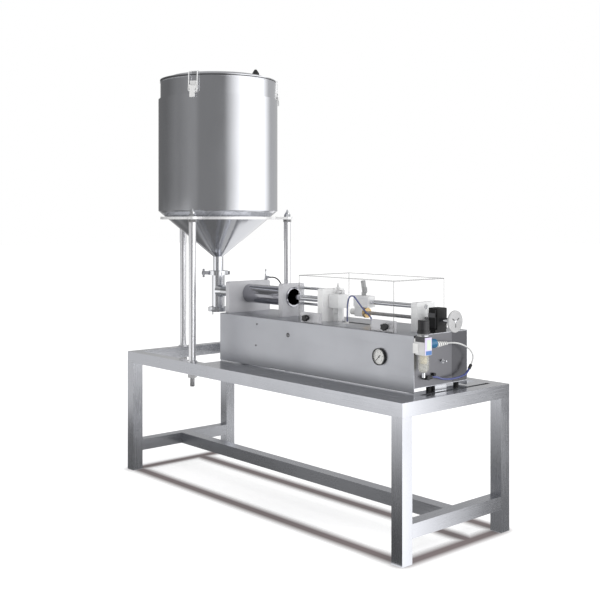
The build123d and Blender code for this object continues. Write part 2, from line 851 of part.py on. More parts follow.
with BuildPart() as piston_rod:
    bar_x(0, line_z, rod_radius, (piston_right, coupling_left + rod_socket - 1))
    bar_x(0, line_z, spigot_radius, (piston_right - spigot_length, piston_right))
finish(piston_rod, "piston_rod")

# Coupling block on the rod, with the drive arm that comes up through the slot in the box
coupling_right = coupling_left + coupling_length
coupling_top = line_z + coupling_half_height
arm_top = line_z - coupling_half_height - seat_gap
arm_x = coupling_left + arm_offset
with BuildPart() as coupling_block:
    block(
        (coupling_left, coupling_right),
        both_sides(coupling_half_width),
        (line_z - coupling_half_height, coupling_top),
    )
    chamfer(coupling_block.edges().filter_by(Axis.X), coupling_chamfer)
    bar_x(0, line_z, rod_radius + run_fit, (coupling_left, coupling_left + rod_socket), Mode.SUBTRACT)
    arm_reach = (arm_x - arm_half_length, arm_x + arm_half_length)
    block(arm_reach, both_sides(arm_half_width), (box_top - arm_depth, arm_top))
    for y in both_sides(arm_half_width):
        bar_z(arm_x, y, boss_radius, (arm_top - boss_height, arm_top))
finish(coupling_block, "coupling_block")

# Needle valve and elbow on the coupling block
valve_x = coupling_left + valve_offset
valve_base = coupling_top + seat_gap
valve_top = coupling_top + valve_height
stem_x = valve_x + valve_offset
stem_y = sum(valve_y) / 2
with BuildPart() as coupling_fittings:
    block((valve_x, valve_x + valve_length), valve_y, (valve_base, valve_top))
    bar_z(stem_x, stem_y, stem_radius, (valve_top, valve_top + stem_height))
    with Locations((stem_x, stem_y, valve_top + stem_height + tip_height / 2)):
        Cone(stem_radius, tip_radius, tip_height)
    port_x = valve_x + valve_length - valve_offset
    port_span = (valve_y[0] - port_reach, valve_y[0])
    bar_y(port_x, coupling_top + valve_height / 2, port_radius, port_span)
finish(coupling_fittings, "coupling_fittings")

# Tie rods between the plates, and the guide rod of the stroke stop
rod_seat = tie_rod_seat - 0.5
with BuildPart() as guide_rods:
    for y, z in tie_rods:
        bar_x(y, z, tie_rod_radius, (middle_right - rod_seat, guide_left + rod_seat))
    bar_x(0, guide_rod_z, guide_rod_radius, (guide_rod_start, end_right))
finish(guide_rods, "guide_rods")

# Stroke stop: slider on the guide rod, carrier with a brass nut on the screw, and a white bumper
stop_right = stop_left + stop_length
stop_top = line_z + stop_rise
waist_z = line_z - stop_waist
nut_place = (stop_left + nut_offset, stop_left + nut_offset + nut_length)
bumper_end = stop_left - seat_gap
with BuildPart() as stop_block:
    block((stop_left, stop_right), both_sides(stop_half_width), (waist_z, stop_top))
    carrier_x = (stop_left, nut_place[0] - seat_gap)
    block(carrier_x, both_sides(carrier_half_width), (line_z - carrier_bottom, waist_z))
    bar_x(0, screw_z, bumper_radius, (bumper_end - bumper_length, bumper_end))
    bar_x(0, guide_rod_z, guide_rod_radius + run_fit, (stop_left, stop_right), Mode.SUBTRACT)
    bar_x(0, screw_z, screw_radius + free_gap, (bumper_end - bumper_length, stop_right), Mode.SUBTRACT)
    bar_x(0, screw_z, nut_radius, nut_place)
    bar_x(0, screw_z, screw_radius + run_fit, nut_place, Mode.SUBTRACT)
finish(stop_block, "stop_block")

# Lock lever on top of the stop
lock_x = stop_left + lock_offset
with BuildPart() as stop_lock_lever:
    bar_z(lock_x, 0, lock_boss, (stop_top + free_gap, stop_top + lock_boss_height))
    with Locations(Location((lock_x, 0, stop_top + lock_centre), (0, -lock_tilt, 0))):
        Box(*lock_grip)
    thumb = (stop_top + lock_boss_height, stop_top + lock_boss_height + lock_thumb_height)
    bar_z(lock_x + lock_boss, 0, lock_thumb, thumb)
finish(stop_lock_lever, "stop_lock_lever")

# Stroke screw with its hub, the counter it runs through, and the handwheel with a Y of three slots
counter_right = counter_left + counter_length
wheel_right = wheel_left + wheel_thickness
with BuildPart() as lead_screw:
    bar_x(0, screw_z, screw_radius, (screw_start, wheel_left + wheel_grip))
    bar_x(0, screw_z, hub_radius, (counter_right + free_gap, wheel_left))
finish(lead_screw, "lead_screw")

counter_bottom = box_top + counter_foot
with BuildPart() as counter:
    counter_x = (counter_left, counter_right)
    block(counter_x, both_sides(counter_half_width), (counter_bottom, counter_bottom + counter_height))
    fillet(counter.edges().filter_by(Axis.X), counter_edge)
    foot_x = (counter_left - counter_foot_shift, counter_right - counter_foot_shift)
    block(foot_x, both_sides(counter_foot_half_width), (box_top, counter_bottom))
    bar_x(0, screw_z, screw_radius + run_fit, counter_x, Mode.SUBTRACT)
finish(counter, "counter")

with BuildPart() as handwheel:
    bar_x(0, screw_z, wheel_radius, (wheel_left, wheel_right))
    fillet(handwheel.edges(), wheel_edge)
    with BuildSketch(Plane(origin=(wheel_left, 0, screw_z), x_dir=(0, 1, 0), z_dir=(1, 0, 0))):
        with PolarLocations(slot_centre, wheel_spokes, start_angle=-90):
            SlotOverall(slot_length, slot_width)
    extrude(amount=wheel_thickness, mode=Mode.SUBTRACT)
    bar_x(0, screw_z, screw_radius + run_fit, (wheel_left, wheel_left + wheel_grip + 0.5), Mode.SUBTRACT)
finish(handwheel, "handwheel")

# Machine box: folded sheet shell with a slot for the drive arm, and a bottom plate
inner = box_half_width - sheet
with BuildPart() as box_shell:
    block((box_left, box_right), both_sides(box_half_width), (box_bottom, box_top))
    fillet(box_shell.edges().filter_by(Axis.X).group_by(Axis.Z)[-1], box_edge_radius)
    block((box_left + sheet, box_right), both_sides(inner), (box_bottom, box_top - sheet), Mode.SUBTRACT)
    slot_x = (slot_left, slot_right)
    block(slot_x, both_sides(slot_half_width), (box_top - sheet, box_top), Mode.SUBTRACT)
    gauge_hole = gauge_body_radius + 1
    bar_y(gauge_x, gauge_z, gauge_hole, (-box_half_width, -inner), Mode.SUBTRACT)
    bottom_x = (box_left + sheet + seat_gap, box_right)
    block(bottom_x, both_sides(inner - seat_gap), (box_bottom, box_bottom + sheet))
finish(box_shell, "box_shell")

# Two end panels that meet at a seam
panel_z = (box_bottom + sheet + seat_gap, box_top - sheet - seat_gap)
panel_x = (box_right - panel_thickness, box_right)
with BuildPart() as end_panels:
    block(panel_x, (seat_gap - inner, panel_seam_y - seat_gap), panel_z)
    block(panel_x, (panel_seam_y + seat_gap, inner - seat_gap), panel_z)
finish(end_panels, "end_panels")

# Pressure gauge in the front of the box
gauge_back = -box_half_width - seat_gap
gauge_front = gauge_back - gauge_depth
gauge_face = gauge_front + gauge_face_depth
gauge_inner = gauge_back + gauge_body_depth
with BuildPart() as gauge_case:
    bar_y(gauge_x, gauge_z, gauge_radius, (gauge_front, gauge_back))
    bar_y(gauge_x, gauge_z, gauge_body_radius, (gauge_back, gauge_inner))
    bar_y(gauge_x, gauge_z, gauge_port_radius, (gauge_inner, gauge_inner + gauge_port_length))
    bar_y(gauge_x, gauge_z, gauge_radius - gauge_rim, (gauge_front, gauge_face), Mode.SUBTRACT)
    bar_y(gauge_x, gauge_z, needle_pin, (gauge_face - 2 * needle_thickness, gauge_face))
finish(gauge_case, "gauge_case")

needle_plane = Plane(
    origin=(gauge_x, gauge_face - needle_thickness / 2, gauge_z),
    x_dir=(1, 0, 0),
    z_dir=(0, -1, 0),
)
needle_shape = (
    (-needle_tail, -1.5),
    (needle_length, -0.5),
    (needle_length, 0.5),
    (-needle_tail, 1.5),
)
with BuildPart() as gauge_needle:
    with BuildSketch(needle_plane):
        with Locations(Location((0, 0, 0), (0, 0, needle_angle))):
            Polygon(*needle_shape, align=None)
        Circle(needle_hub)
        Circle(needle_pin + run_fit, mode=Mode.SUBTRACT)
    extrude(amount=needle_thickness)
finish(gauge_needle, "gauge_needle")

# Clear guard over the drive, open at both ends, with slots that drop over the knobs' studs
guard_inner = guard_half_width - guard_wall
guard_top = box_top + guard_height
knob_z = box_top + knob_rise
with BuildPart() as guard:
    guard_x = (guard_left, guard_right)
    block(guard_x, both_sides(guard_half_width), (box_top + free_gap, guard_top))
    fillet(guard.edges().filter_by(Axis.X).group_by(Axis.Z)[-1], guard_edge)
    block(guard_x, both_sides(guard_inner), (box_top, guard_top - guard_wall), Mode.SUBTRACT)
    slot_reach = stud_radius + stud_slack
    for x in knob_places.values():
        wall_y = (-guard_half_width, -guard_inner)
        block((x - slot_reach, x + slot_reach), wall_y, (box_top, knob_z + slot_reach), Mode.SUBTRACT)
finish(guard, "guard")

# Blocks inside the guard's front wall, and the lobed knobs that clamp the wall to them
block_y = (free_gap - guard_inner, free_gap - guard_inner + guard_block_depth)
with BuildPart() as guard_blocks:
    for side, x in knob_places.items():
        reach = guard_block_reach[side]
        block((x - reach[0], x + reach[1]), block_y, (box_top, box_top + guard_block_height))
        bar_y(x, knob_z, stud_radius + run_fit, block_y, Mode.SUBTRACT)
finish(guard_blocks, "guard_blocks")

knob_back = -guard_half_width - free_gap
knob_front = knob_back - knob_depth
for side, x in knob_places.items():
    with BuildPart() as guard_knob:
        bar_y(x, knob_z, knob_radius, (knob_front, knob_back))
        with Locations(Location((x, knob_front + lobe_depth / 2, knob_z), (90, 0, 0))):
            with PolarLocations(lobe_reach, knob_lobes):
                Cylinder(lobe_radius, lobe_depth)
        bar_y(x, knob_z, stud_radius, (knob_back, block_y[1] - 2))
    finish(guard_knob, f"guard_knob_{side}")

# Air regulator: ribbed body on its bracket, bonnet with a ring, knob, clear bowl and filter
regulator_x = box_right + regulator_reach
body_top_z = box_top - regulator_drop
body_x = (regulator_x - regulator_half_x, regulator_x + regulator_half_x)
body_y = (regulator_y - regulator_half_y, regulator_y + regulator_half_y)
body_z = (body_top_z - regulator_height, body_top_z)
bonnet_top = body_top_z + bonnet_height
panel_face = box_right + free_gap
with BuildPart() as regulator_body:
    block(body_x, body_y, body_z)
    fillet(regulator_body.edges().filter_by(Axis.Z), regulator_edge)
    for drop in rib_places:
        groove = (body_top_z - drop - rib_width, body_top_z - drop)
        block(body_x, (body_y[0], body_y[0] + rib_depth), groove, Mode.SUBTRACT)
    bar_z(regulator_x, regulator_y, bonnet_radius, (body_top_z, bonnet_top))
    ring_z = (body_top_z + ring_lift, body_top_z + ring_lift + ring_height)
    bar_z(regulator_x, regulator_y, bonnet_ring, ring_z)
    bracket_z = (body_z[0] + bracket_lift, body_z[0] + bracket_lift + bracket_height)
    bracket_y = (regulator_y - bracket_half_width, regulator_y + bracket_half_width)
    block((panel_face, body_x[0] - seat_gap), bracket_y, bracket_z)
    lip_y = (body_y[0] - bracket_lip[1], body_y[0] - seat_gap)
    lip_x = (panel_face, body_x[0] + bracket_lip[2])
    block(lip_x, lip_y, (bracket_z[0], bracket_z[0] + bracket_lip[0]))
finish(regulator_body, "regulator_body")

skirt_bottom = bonnet_top + free_gap + seat_gap
skirt_top = skirt_bottom + knob_skirt_height
with BuildPart() as regulator_knob:
    bar_z(regulator_x, regulator_y, knob_skirt, (skirt_bottom, skirt_top))
    bar_z(regulator_x, regulator_y, knob_grip, (skirt_top, skirt_top + knob_grip_height))
    fillet(regulator_knob.edges().group_by(Axis.Z)[-1], knob_crown)
finish(regulator_knob, "regulator_knob")

bowl_top = body_z[0] - free_gap - seat_gap
bowl_bottom = bowl_top - bowl_length
inner_bowl = bowl_radius - bowl_wall
bowl_outline = (
    (0, 0),
    (bowl_radius * 0.46, 1),
    (bowl_radius * 0.87, 8),
    (bowl_radius, 16),
    (bowl_radius, bowl_length),
    (inner_bowl, bowl_length),
    (inner_bowl, 17),
    (inner_bowl * 0.85, 10),
    (inner_bowl * 0.48, bowl_wall + 1),
    (0, bowl_wall),
)
with BuildPart() as regulator_bowl:
    lathe([(radius, bowl_bottom + height) for radius, height in bowl_outline], regulator_x, regulator_y)
finish(regulator_bowl, "regulator_bowl")

with BuildPart() as filter_element:
    bar_z(regulator_x, regulator_y, filter_radius, (bowl_top - filter_length, bowl_top))
finish(filter_element, "filter_element")

# Routes of the air hoses and tubes, point by point: the hoses from the upper right edge of the box, the
# black tube from the head plate's flow control down to its gland, the blue one between its two glands
hose_drop = 35.0
elbow_reach = 17.0
elbow_rise = 36.0
elbow_y = (-95.0, -74.0)
gland_height = 8.7
gland_top = box_top + gland_height
hose_z = box_top - hose_drop
elbow_x = box_right + elbow_reach
elbow_z = box_bottom + elbow_rise
hose_upper_points = ((-4.8, 0), (32, 0), (78, 10), (118, 27), (143, 49), (147, 72), (133, 90))
hose_upper_route = [(regulator_x, y, hose_z - drop) for y, drop in hose_upper_points]
hose_lower_points = (
    (12, 122, 11.86),
    (12, 108, -6.14),
    (10, 70, -14),
    (7, 24, -17),
    (3, -20, -12),
    (0, -50, 0),
    (0, elbow_y[1], 0),
)
hose_lower_route = [(elbow_x + x, y, elbow_z + z) for x, y, z in hose_lower_points]
tube_black_points = (
    (40.3, 102, 148),
    (64, 102, 150),
    (89, 102, 145),
    (110, 102, 132),
    (126, 101, 111),
    (137, 100, 83),
    (146, 100, 47),
    (146, 100, gland_height),
)
tube_black_route = [(head_left + x, y, box_top + z) for x, y, z in tube_black_points]
tube_blue_points = (
    (350, -46, gland_height),
    (350, -46, 43),
    (351, -46, 79),
    (360, -45, 107),
    (382, -44, 113),
    (404, -44, 93),
    (433, -45, 67),
    (462, -46, 46),
    (485, -46, 32),
    (485, -46, gland_height),
)
tube_blue_route = [(x, y, box_top + z) for x, y, z in tube_blue_points]
gland_places = (tube_blue_route[0][:2], tube_blue_route[-1][:2], tube_black_route[-1][:2])

# Fittings: outlet fitting, bend guard, bowl drain, bulkhead elbow, plug, hose union, switch base
outlet_drop = 30.0
outlet_radius_air = 17.0
outlet_end = -68.0
outlet_edge = 5.0
guard_cone = (6.0, 12.0, 62.0)
drain_radius = 6.0
drain_length = 15.8
elbow_radius = 8.0
elbow_barb = 7.0
union_radius = 6.0
gland_radius = 7.0
plug_y = -46.0
plug_rise = 42.0
plug_length = 10.0
switch_y = 3.0
switch_rise = 84.0
switch_base = 6.0
switch_bore = 4.0
outlet_z = box_top - outlet_drop
plug_place = (plug_y, box_bottom + plug_rise)
switch_place = (switch_y, box_bottom + switch_rise)
union_start = Vector(*hose_upper_route[-1])
union_reach = Vector(*hose_lower_route[0]) - union_start
fitting_face = box_right + seat_gap
switch_front = box_right + switch_base
with BuildPart() as air_fittings:
    bar_y(regulator_x, outlet_z, outlet_radius_air, (body_y[1] + seat_gap, outlet_end))
    fillet(air_fittings.edges().group_by(Axis.Y)[-1], outlet_edge)
    guard_middle = outlet_end + 1 + guard_cone[2] / 2
    with Locations(Location((regulator_x, guard_middle, hose_z), (90, 0, 0))):
        Cone(*guard_cone)
    drain_top = bowl_bottom - seat_gap
    bar_z(regulator_x, regulator_y, drain_radius, (drain_top - drain_length, drain_top))
    bar_x(elbow_y[0], elbow_z, elbow_radius, (fitting_face, elbow_x + elbow_barb))
    bar_y(elbow_x, elbow_z, elbow_barb, elbow_y)
    with BuildSketch(Plane(origin=union_start, z_dir=union_reach)):
        Circle(union_radius)
    extrude(amount=union_reach.length)
    for x, y in gland_places:
        bar_z(x, y, gland_radius, (box_top + seat_gap, gland_top))
    bar_x(*plug_place, union_radius, (fitting_face, fitting_face + plug_length))
    bar_x(*switch_place, elbow_radius, (fitting_face, switch_front))
    bar_x(*switch_place, switch_bore, (box_right, switch_front), Mode.SUBTRACT)
finish(air_fittings, "air_fittings")

# Toggle lever, pivoting inside the base
pivot_reach = 4.0
pivot_radius = 2.4
pivot_half_width = 1.8
toggle_reach = 9.0
toggle_tilt = 78.0
switch_pivot = box_right + pivot_reach
with BuildPart() as toggle_lever:
    with BuildSketch(Plane.XZ.offset(-switch_place[0])):
        with Locations((switch_pivot, switch_place[1])):
            Circle(pivot_radius)
    extrude(amount=pivot_half_width, both=True)
    with Locations(Location((switch_pivot + toggle_reach, *switch_place), (0, toggle_tilt, 0))):
        Cone(1.4, 2.6, 2 * toggle_reach)
finish(toggle_lever, "toggle_lever")

# Flow control on the head plate: hexagon foot, stem, tip and side port
flow_offset = 12.0
flow_y = 102.0
flow_rise = 12.0
flow_hex = 8.0
flow_stem = 6.0
flow_neck = 3.0
flow_levels = (25.0, 39.0, 51.0)
flow_port_length = 28.0
flow_place = (head_left + flow_offset, flow_y)
with BuildPart() as flow_control:
    with BuildSketch(Plane.XY.offset(head_top + seat_gap)):
        with Locations(flow_place):
            RegularPolygon(flow_hex, 6)
    extrude(amount=flow_hex)
    bar_z(*flow_place, flow_stem, (head_top + flow_hex, head_top + flow_levels[0]))
    bar_z(*flow_place, flow_neck, (head_top + flow_levels[0], head_top + flow_levels[1]))
    tip_length = flow_levels[2] - flow_levels[1]
    with Locations((*flow_place, head_top + flow_levels[1] + tip_length / 2)):
        Cone(5, 1.5, tip_length)
    port_x = (flow_place[0], flow_place[0] + flow_port_length)
    bar_x(flow_y, head_top + flow_rise, flow_stem, port_x)
finish(flow_control, "flow_control")


def cord(route, radius, name):
    """A round cord of straight runs joined by arcs as large as the runs allow."""
    points = [Vector(*point) for point in route]
    radii = []
    for before, here, after in zip(points, points[1:], points[2:]):
        turn = math.radians((here - before).get_angle(after - here))
        shorter = min((here - before).length, (after - here).length)
        radii.append(0.45 * shorter / math.tan(turn / 2))
    with BuildPart() as tube_solid:
        with BuildLine() as path:
            FilletPolyline(*points, radius=radii)
        with BuildSketch(Plane(origin=points[0], z_dir=points[1] - points[0])):
            Circle(radius)
        sweep()
    length = sum(edge.length for edge in path.line.edges())
    section = math.pi * radius**2
    print(name, "length", round(length, 1), "radii", [round(value, 1) for value in radii])
    print(name, "volume ratio", round(tube_solid.part.volume / (section * length), 4))
    finish(tube_solid, name)


cord(hose_upper_route, 3.0, "hose_upper")
cord(hose_lower_route, 4.0, "hose_lower")
cord(tube_black_route, 3.0, "tube_black")
cord(tube_blue_route, 3.0, "tube_blue")
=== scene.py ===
"""Looks of a piston filler on its table: metals, clear guard, air line, small hardware, studio and camera.

Everything is in metres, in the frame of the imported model: origin on the floor below the table's middle,
X along the table, the operator at negative Y, Z up.
"""
import math

import bmesh
import bpy
from mathutils import Matrix, Vector


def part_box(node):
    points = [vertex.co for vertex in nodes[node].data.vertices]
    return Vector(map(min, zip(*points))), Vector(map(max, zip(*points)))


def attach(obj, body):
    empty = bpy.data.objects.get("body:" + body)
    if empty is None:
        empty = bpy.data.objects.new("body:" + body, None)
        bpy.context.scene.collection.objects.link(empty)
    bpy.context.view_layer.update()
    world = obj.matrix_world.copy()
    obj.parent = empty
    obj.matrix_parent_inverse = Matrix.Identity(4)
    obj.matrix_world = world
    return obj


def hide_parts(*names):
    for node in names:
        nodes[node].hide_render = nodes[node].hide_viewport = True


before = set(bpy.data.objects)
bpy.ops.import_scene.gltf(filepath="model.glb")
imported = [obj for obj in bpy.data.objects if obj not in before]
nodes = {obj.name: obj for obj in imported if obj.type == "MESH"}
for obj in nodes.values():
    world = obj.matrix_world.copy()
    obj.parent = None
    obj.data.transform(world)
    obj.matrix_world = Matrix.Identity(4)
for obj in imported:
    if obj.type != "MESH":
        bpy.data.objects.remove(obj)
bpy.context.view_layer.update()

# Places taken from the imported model, in metres
table_low, table_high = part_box("table_top_frame")
box_low, box_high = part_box("box_shell")
gauge_low, gauge_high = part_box("gauge_case")
body_low, body_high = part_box("regulator_body")
head_low, head_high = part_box("head_plate_cap")
end_low, end_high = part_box("end_plate_cap")
stop_low, stop_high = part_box("stop_block")
guard_low, guard_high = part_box("guard")
hopper_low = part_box("hopper_shell")[0]
counter_low, counter_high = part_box("counter")
wheel_low, wheel_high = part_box("handwheel")


# Node helpers


def add(tree, kind, inputs=None, **settings):
    """One node with its settings and inputs: a plain value, or the output of another node."""
    node = tree.nodes.new(kind)
    for name, value in settings.items():
        setattr(node, name, value)
    for name, value in (inputs or {}).items():
        socket = node.inputs[name]
        if isinstance(value, bpy.types.NodeSocket):
            tree.links.new(value, socket)
        else:
            socket.default_value = value
    return node


def place_of(tree):
    """The point on the piece, in metres, in the piece's own frame."""
    return add(tree, "ShaderNodeTexCoord").outputs["Object"]


def noise(tree, scale, detail, rough):
    """Noise, with its own scale along each axis, in cycles per metre."""
    mapped = add(tree, "ShaderNodeMapping", {"Vector": place_of(tree), "Scale": scale})
    inputs = {"Vector": mapped.outputs["Vector"], "Scale": 1.0, "Detail": detail, "Roughness": rough}
    return add(tree, "ShaderNodeTexNoise", inputs).outputs["Fac"]


def spread(tree, value, low, high, start=0.3, end=0.7):
    """A value between start and end, mapped to low and high."""
    inputs = {"Value": value, "From Min": start, "From Max": end, "To Min": low, "To Max": high}
    return add(tree, "ShaderNodeMapRange", inputs).outputs["Result"]


def calculate(tree, operation, first, second=0.0):
    """One step of arithmetic."""
    return add(tree, "ShaderNodeMath", {0: first, 1: second}, operation=operation).outputs[0]


def blend_colors(tree, factor, first, second):
    """A mix of two colours."""
    node = add(tree, "ShaderNodeMix", {"Factor": factor}, data_type="RGBA")
    for socket, value in zip([s for s in node.inputs if s.type == "RGBA"], (first, second)):
        if isinstance(value, bpy.types.NodeSocket):
            tree.links.new(value, socket)
        else:
            socket.default_value = value
    return [s for s in node.outputs if s.type == "RGBA"][0]


def split_place(tree):
    """The x, y and z of the point on the piece."""
    parts = add(tree, "ShaderNodeSeparateXYZ", {"Vector": place_of(tree)})
    return parts.outputs


def grey(value):
    """A neutral colour."""
    return (value, value, value, 1.0)


def shade(color, factor):
    """A colour made lighter or darker."""
    return (color[0] * factor, color[1] * factor, color[2] * factor, 1.0)


def new_material(name):
    """An empty Principled material."""
    material = bpy.data.materials.new(name)
    material.use_nodes = True
    tree = material.node_tree
    return material, tree, tree.nodes["Principled BSDF"]


def feed(tree, shader, name, value):
    """Sets one input of the shader, or links it."""
    if isinstance(value, bpy.types.NodeSocket):
        tree.links.new(value, shader.inputs[name])
    else:
        shader.inputs[name].default_value = value


def bump(tree, shader, height, depth, strength):
    """Relief from a height value, over anything that the shader already has."""
    inputs = {"Height": height, "Distance": depth, "Strength": strength}
    node = add(tree, "ShaderNodeBump", inputs)
    tree.links.new(node.outputs["Normal"], shader.inputs["Normal"])


# Materials

# Brushing lines, in cycles per metre across and along them
fine = 900.0
along = 6.0
GRAINS = {"x": (along, fine, fine), "y": (fine, along, fine), "z": (fine, fine, along)}

# On the crossbars the lines run across the table past this inset from its ends, and above this height
end_tube = 0.0502
bearer_height = 0.3


def brushing(tree, axis):
    """Brushing lines along one axis."""
    return noise(tree, GRAINS[axis], 4.0, 0.6)


def grain_field(tree, rule):
    """Brushing lines: along one axis, or along each tube of the table where rule names a tube frame."""
    if rule in GRAINS:
        return brushing(tree, rule)
    x, y, z = split_place(tree)
    wide = calculate(tree, "ABSOLUTE", x)
    if rule == "top_frame":
        deep = calculate(tree, "ABSOLUTE", y)
        mitre = table_high[0] - table_high[1]
        crosswise = calculate(tree, "GREATER_THAN", calculate(tree, "SUBTRACT", wide, deep), mitre)
    else:
        at_end = calculate(tree, "GREATER_THAN", wide, table_high[0] - end_tube)
        on_top = calculate(tree, "GREATER_THAN", z, bearer_height)
        crosswise = calculate(tree, "MAXIMUM", at_end, on_top)
    mixed = add(tree, "ShaderNodeMix", {"Factor": crosswise}, data_type="FLOAT")
    tree.links.new(brushing(tree, "x"), mixed.inputs["A"])
    tree.links.new(brushing(tree, "y"), mixed.inputs["B"])
    return mixed.outputs["Result"]


def brushed_metal(name, color, roughness, rule, contrast, metallic=1.0):
    """Brushed or ground metal: fine lines in colour, gloss and relief, and soft handling marks."""
    material, tree, shader = new_material(name)
    lines = grain_field(tree, rule)
    clouds = noise(tree, (5.0, 5.0, 5.0), 4.0, 0.6)
    dark = shade(color, 1 - contrast)
    lined = blend_colors(tree, spread(tree, lines, 0.0, 1.0), dark, shade(color, 1.0))
    clouded = blend_colors(tree, spread(tree, clouds, 0.0, 0.35), lined, shade(color, 1 - 1.4 * contrast))
    feed(tree, shader, "Base Color", clouded)
    feed(tree, shader, "Metallic", metallic)
    gloss = calculate(tree, "ADD", spread(tree, lines, -0.05, 0.05), spread(tree, clouds, -0.04, 0.04))
    feed(tree, shader, "Roughness", calculate(tree, "ADD", gloss, roughness))
    bump(tree, shader, lines, 0.00004, 0.3)
    return material


def polished_metal(name, color, roughness, wave=0.0):
    """Polished metal with faint smears, and slow waves where thin sheet is rolled about an upright axis."""
    material, tree, shader = new_material(name)
    smears = noise(tree, (9.0, 9.0, 3.0), 5.0, 0.6)
    toned = blend_colors(tree, spread(tree, smears, 0.0, 1.0), shade(color, 0.94), shade(color, 1.0))
    feed(tree, shader, "Base Color", toned)
    feed(tree, shader, "Metallic", 1.0)
    feed(tree, shader, "Roughness", spread(tree, smears, roughness * 0.8, roughness * 1.3))
    if wave:
        rolls = noise(tree, (16.0, 16.0, 1.2), 1.0, 0.4)
        bump(tree, shader, rolls, wave, 0.5)
    else:
        bump(tree, shader, noise(tree, (400.0, 400.0, 400.0), 2.0, 0.5), 0.00002, 0.4)
    return material


def plastic(name, color, roughness, grain=700.0, depth=0.00006, coat=0.0):
    """Moulded plastic or rubber: fine grain, slightly uneven colour and gloss."""
    material, tree, shader = new_material(name)
    clouds = noise(tree, (22.0, 22.0, 22.0), 3.0, 0.5)
    toned = blend_colors(tree, spread(tree, clouds, 0.0, 1.0), shade(color, 0.86), shade(color, 1.06))
    feed(tree, shader, "Base Color", toned)
    feed(tree, shader, "Roughness", spread(tree, clouds, roughness - 0.04, roughness + 0.06))
    feed(tree, shader, "Coat Weight", coat)
    bump(tree, shader, noise(tree, (grain, grain, grain), 2.0, 0.5), depth, 0.7)
    return material


def threaded_metal(name, color, roughness, axis, pitch):
    """Turned metal with the ridges of a thread along one axis."""
    material, tree, shader = new_material(name)
    feed(tree, shader, "Base Color", (*color, 1.0))
    feed(tree, shader, "Metallic", 1.0)
    feed(tree, shader, "Roughness", roughness)
    turns = calculate(tree, "MULTIPLY", split_place(tree)[axis], 2 * math.pi / pitch)
    bump(tree, shader, calculate(tree, "SINE", turns), pitch / 4, 1.0)
    return material


def striped_plastic(name, light, dark, pitch):
    """A ribbed moulding: rings of light plastic along Y, with painted shade in the grooves between the ribs.
    """
    material, tree, shader = new_material(name)
    turns = calculate(tree, "MULTIPLY", split_place(tree)["Y"], 2 * math.pi / pitch)
    rings = calculate(tree, "SINE", turns)
    # The dark colour in the grooves is painted shade
    ribs_with_painted_shade = blend_colors(tree, spread(tree, rings, 0.0, 1.0, -0.2, 0.2), dark, light)
    feed(tree, shader, "Base Color", ribs_with_painted_shade)
    feed(tree, shader, "Roughness", 0.4)
    bump(tree, shader, rings, 0.001, 1.0)
    return material


def thin_clear(name, tint, gloss):
    """Clear sheet seen through without bending the view, with a faint sheen."""
    material, tree, shader = new_material(name)
    feed(tree, shader, "Base Color", grey(0.9))
    feed(tree, shader, "Roughness", 0.02)
    feed(tree, shader, "IOR", 1.49)
    through = add(tree, "ShaderNodeBsdfTransparent", {"Color": tint})
    wipes = spread(tree, noise(tree, (14.0, 14.0, 60.0), 4.0, 0.6), gloss * 0.7, gloss * 1.3)
    mixed = add(tree, "ShaderNodeMixShader", {"Fac": wipes})
    tree.links.new(through.outputs["BSDF"], mixed.inputs[1])
    tree.links.new(shader.outputs["BSDF"], mixed.inputs[2])
    tree.links.new(mixed.outputs["Shader"], tree.nodes["Material Output"].inputs["Surface"])
    return material


# Colours, and the fine grain of printed surfaces and of tubes as cycles per metre and depth
steel = (0.55, 0.56, 0.595)
bright = (0.765, 0.775, 0.805)
aluminium = (0.83, 0.835, 0.84)
white = (0.82, 0.82, 0.81)
black = (0.018, 0.018, 0.02)
printed = (300.0, 0.00001)
drawn = (400.0, 0.00002)

stainless_top = brushed_metal("brushed_stainless_top_frame", steel, 0.25, "top_frame", 0.05)
# The same steel made lighter for the upward faces of the table: painted light from above
painted_lit_top_steel = brushed_metal("brushed_stainless_painted_lit_top", (0.72, 0.73, 0.76), 0.25, "top_frame", 0.05)
stainless_bars = brushed_metal("brushed_stainless_bars", steel, 0.30, "bars", 0.05)
stainless_z = brushed_metal("brushed_stainless_upright", steel, 0.27, "z", 0.05)
stainless_x = brushed_metal("brushed_stainless_long", steel, 0.36, "x", 0.05)
panel_steel = brushed_metal("end_panel_steel", (0.205, 0.205, 0.22), 0.34, "z", 0.05)
panel_dark = brushed_metal("end_panel_dark_steel", (0.13, 0.13, 0.14), 0.34, "z", 0.05)
post_steel = brushed_metal("post_steel", (0.79, 0.79, 0.815), 0.27, "z", 0.03, 0.8)
thread_z = threaded_metal("post_thread", (0.6, 0.6, 0.61), 0.3, "Z", 0.0025)
thread_x = threaded_metal("screw_thread", (0.5, 0.5, 0.51), 0.32, "X", 0.005)
latch_metal = brushed_metal("latch_metal", (0.93, 0.93, 0.93), 0.3, "z", 0.03, 0.35)
ring_metal = brushed_metal("ring_metal", (0.88, 0.88, 0.885), 0.26, "x", 0.03, 0.5)
screw_steel = polished_metal("screw_steel", (0.32, 0.32, 0.33), 0.3)
nut_steel = polished_metal("nut_steel", (0.5, 0.5, 0.51), 0.28)
hopper_steel = polished_metal("hopper_mirror_steel", (0.735, 0.745, 0.78), 0.13, 0.0002)
mirror_steel = polished_metal("mirror_steel", bright, 0.14)
rod_chrome = polished_metal("hard_chrome", bright, 0.10)
cylinder_steel = polished_metal("cylinder_steel", (0.42, 0.42, 0.45), 0.12)
plate_metal = brushed_metal("ground_aluminium", aluminium, 0.38, "z", 0.03, 0.2)
head_metal = brushed_metal("head_plate_metal", (0.56, 0.56, 0.585), 0.38, "z", 0.03, 0.2)
guide_metal = brushed_metal("guide_plate_metal", (0.92, 0.92, 0.92), 0.38, "z", 0.03, 0.1)
clear_acrylic = thin_clear("clear_acrylic", grey(0.985), 0.03)
acrylic_edge = thin_clear("acrylic_cut_edge", grey(0.5), 0.14)
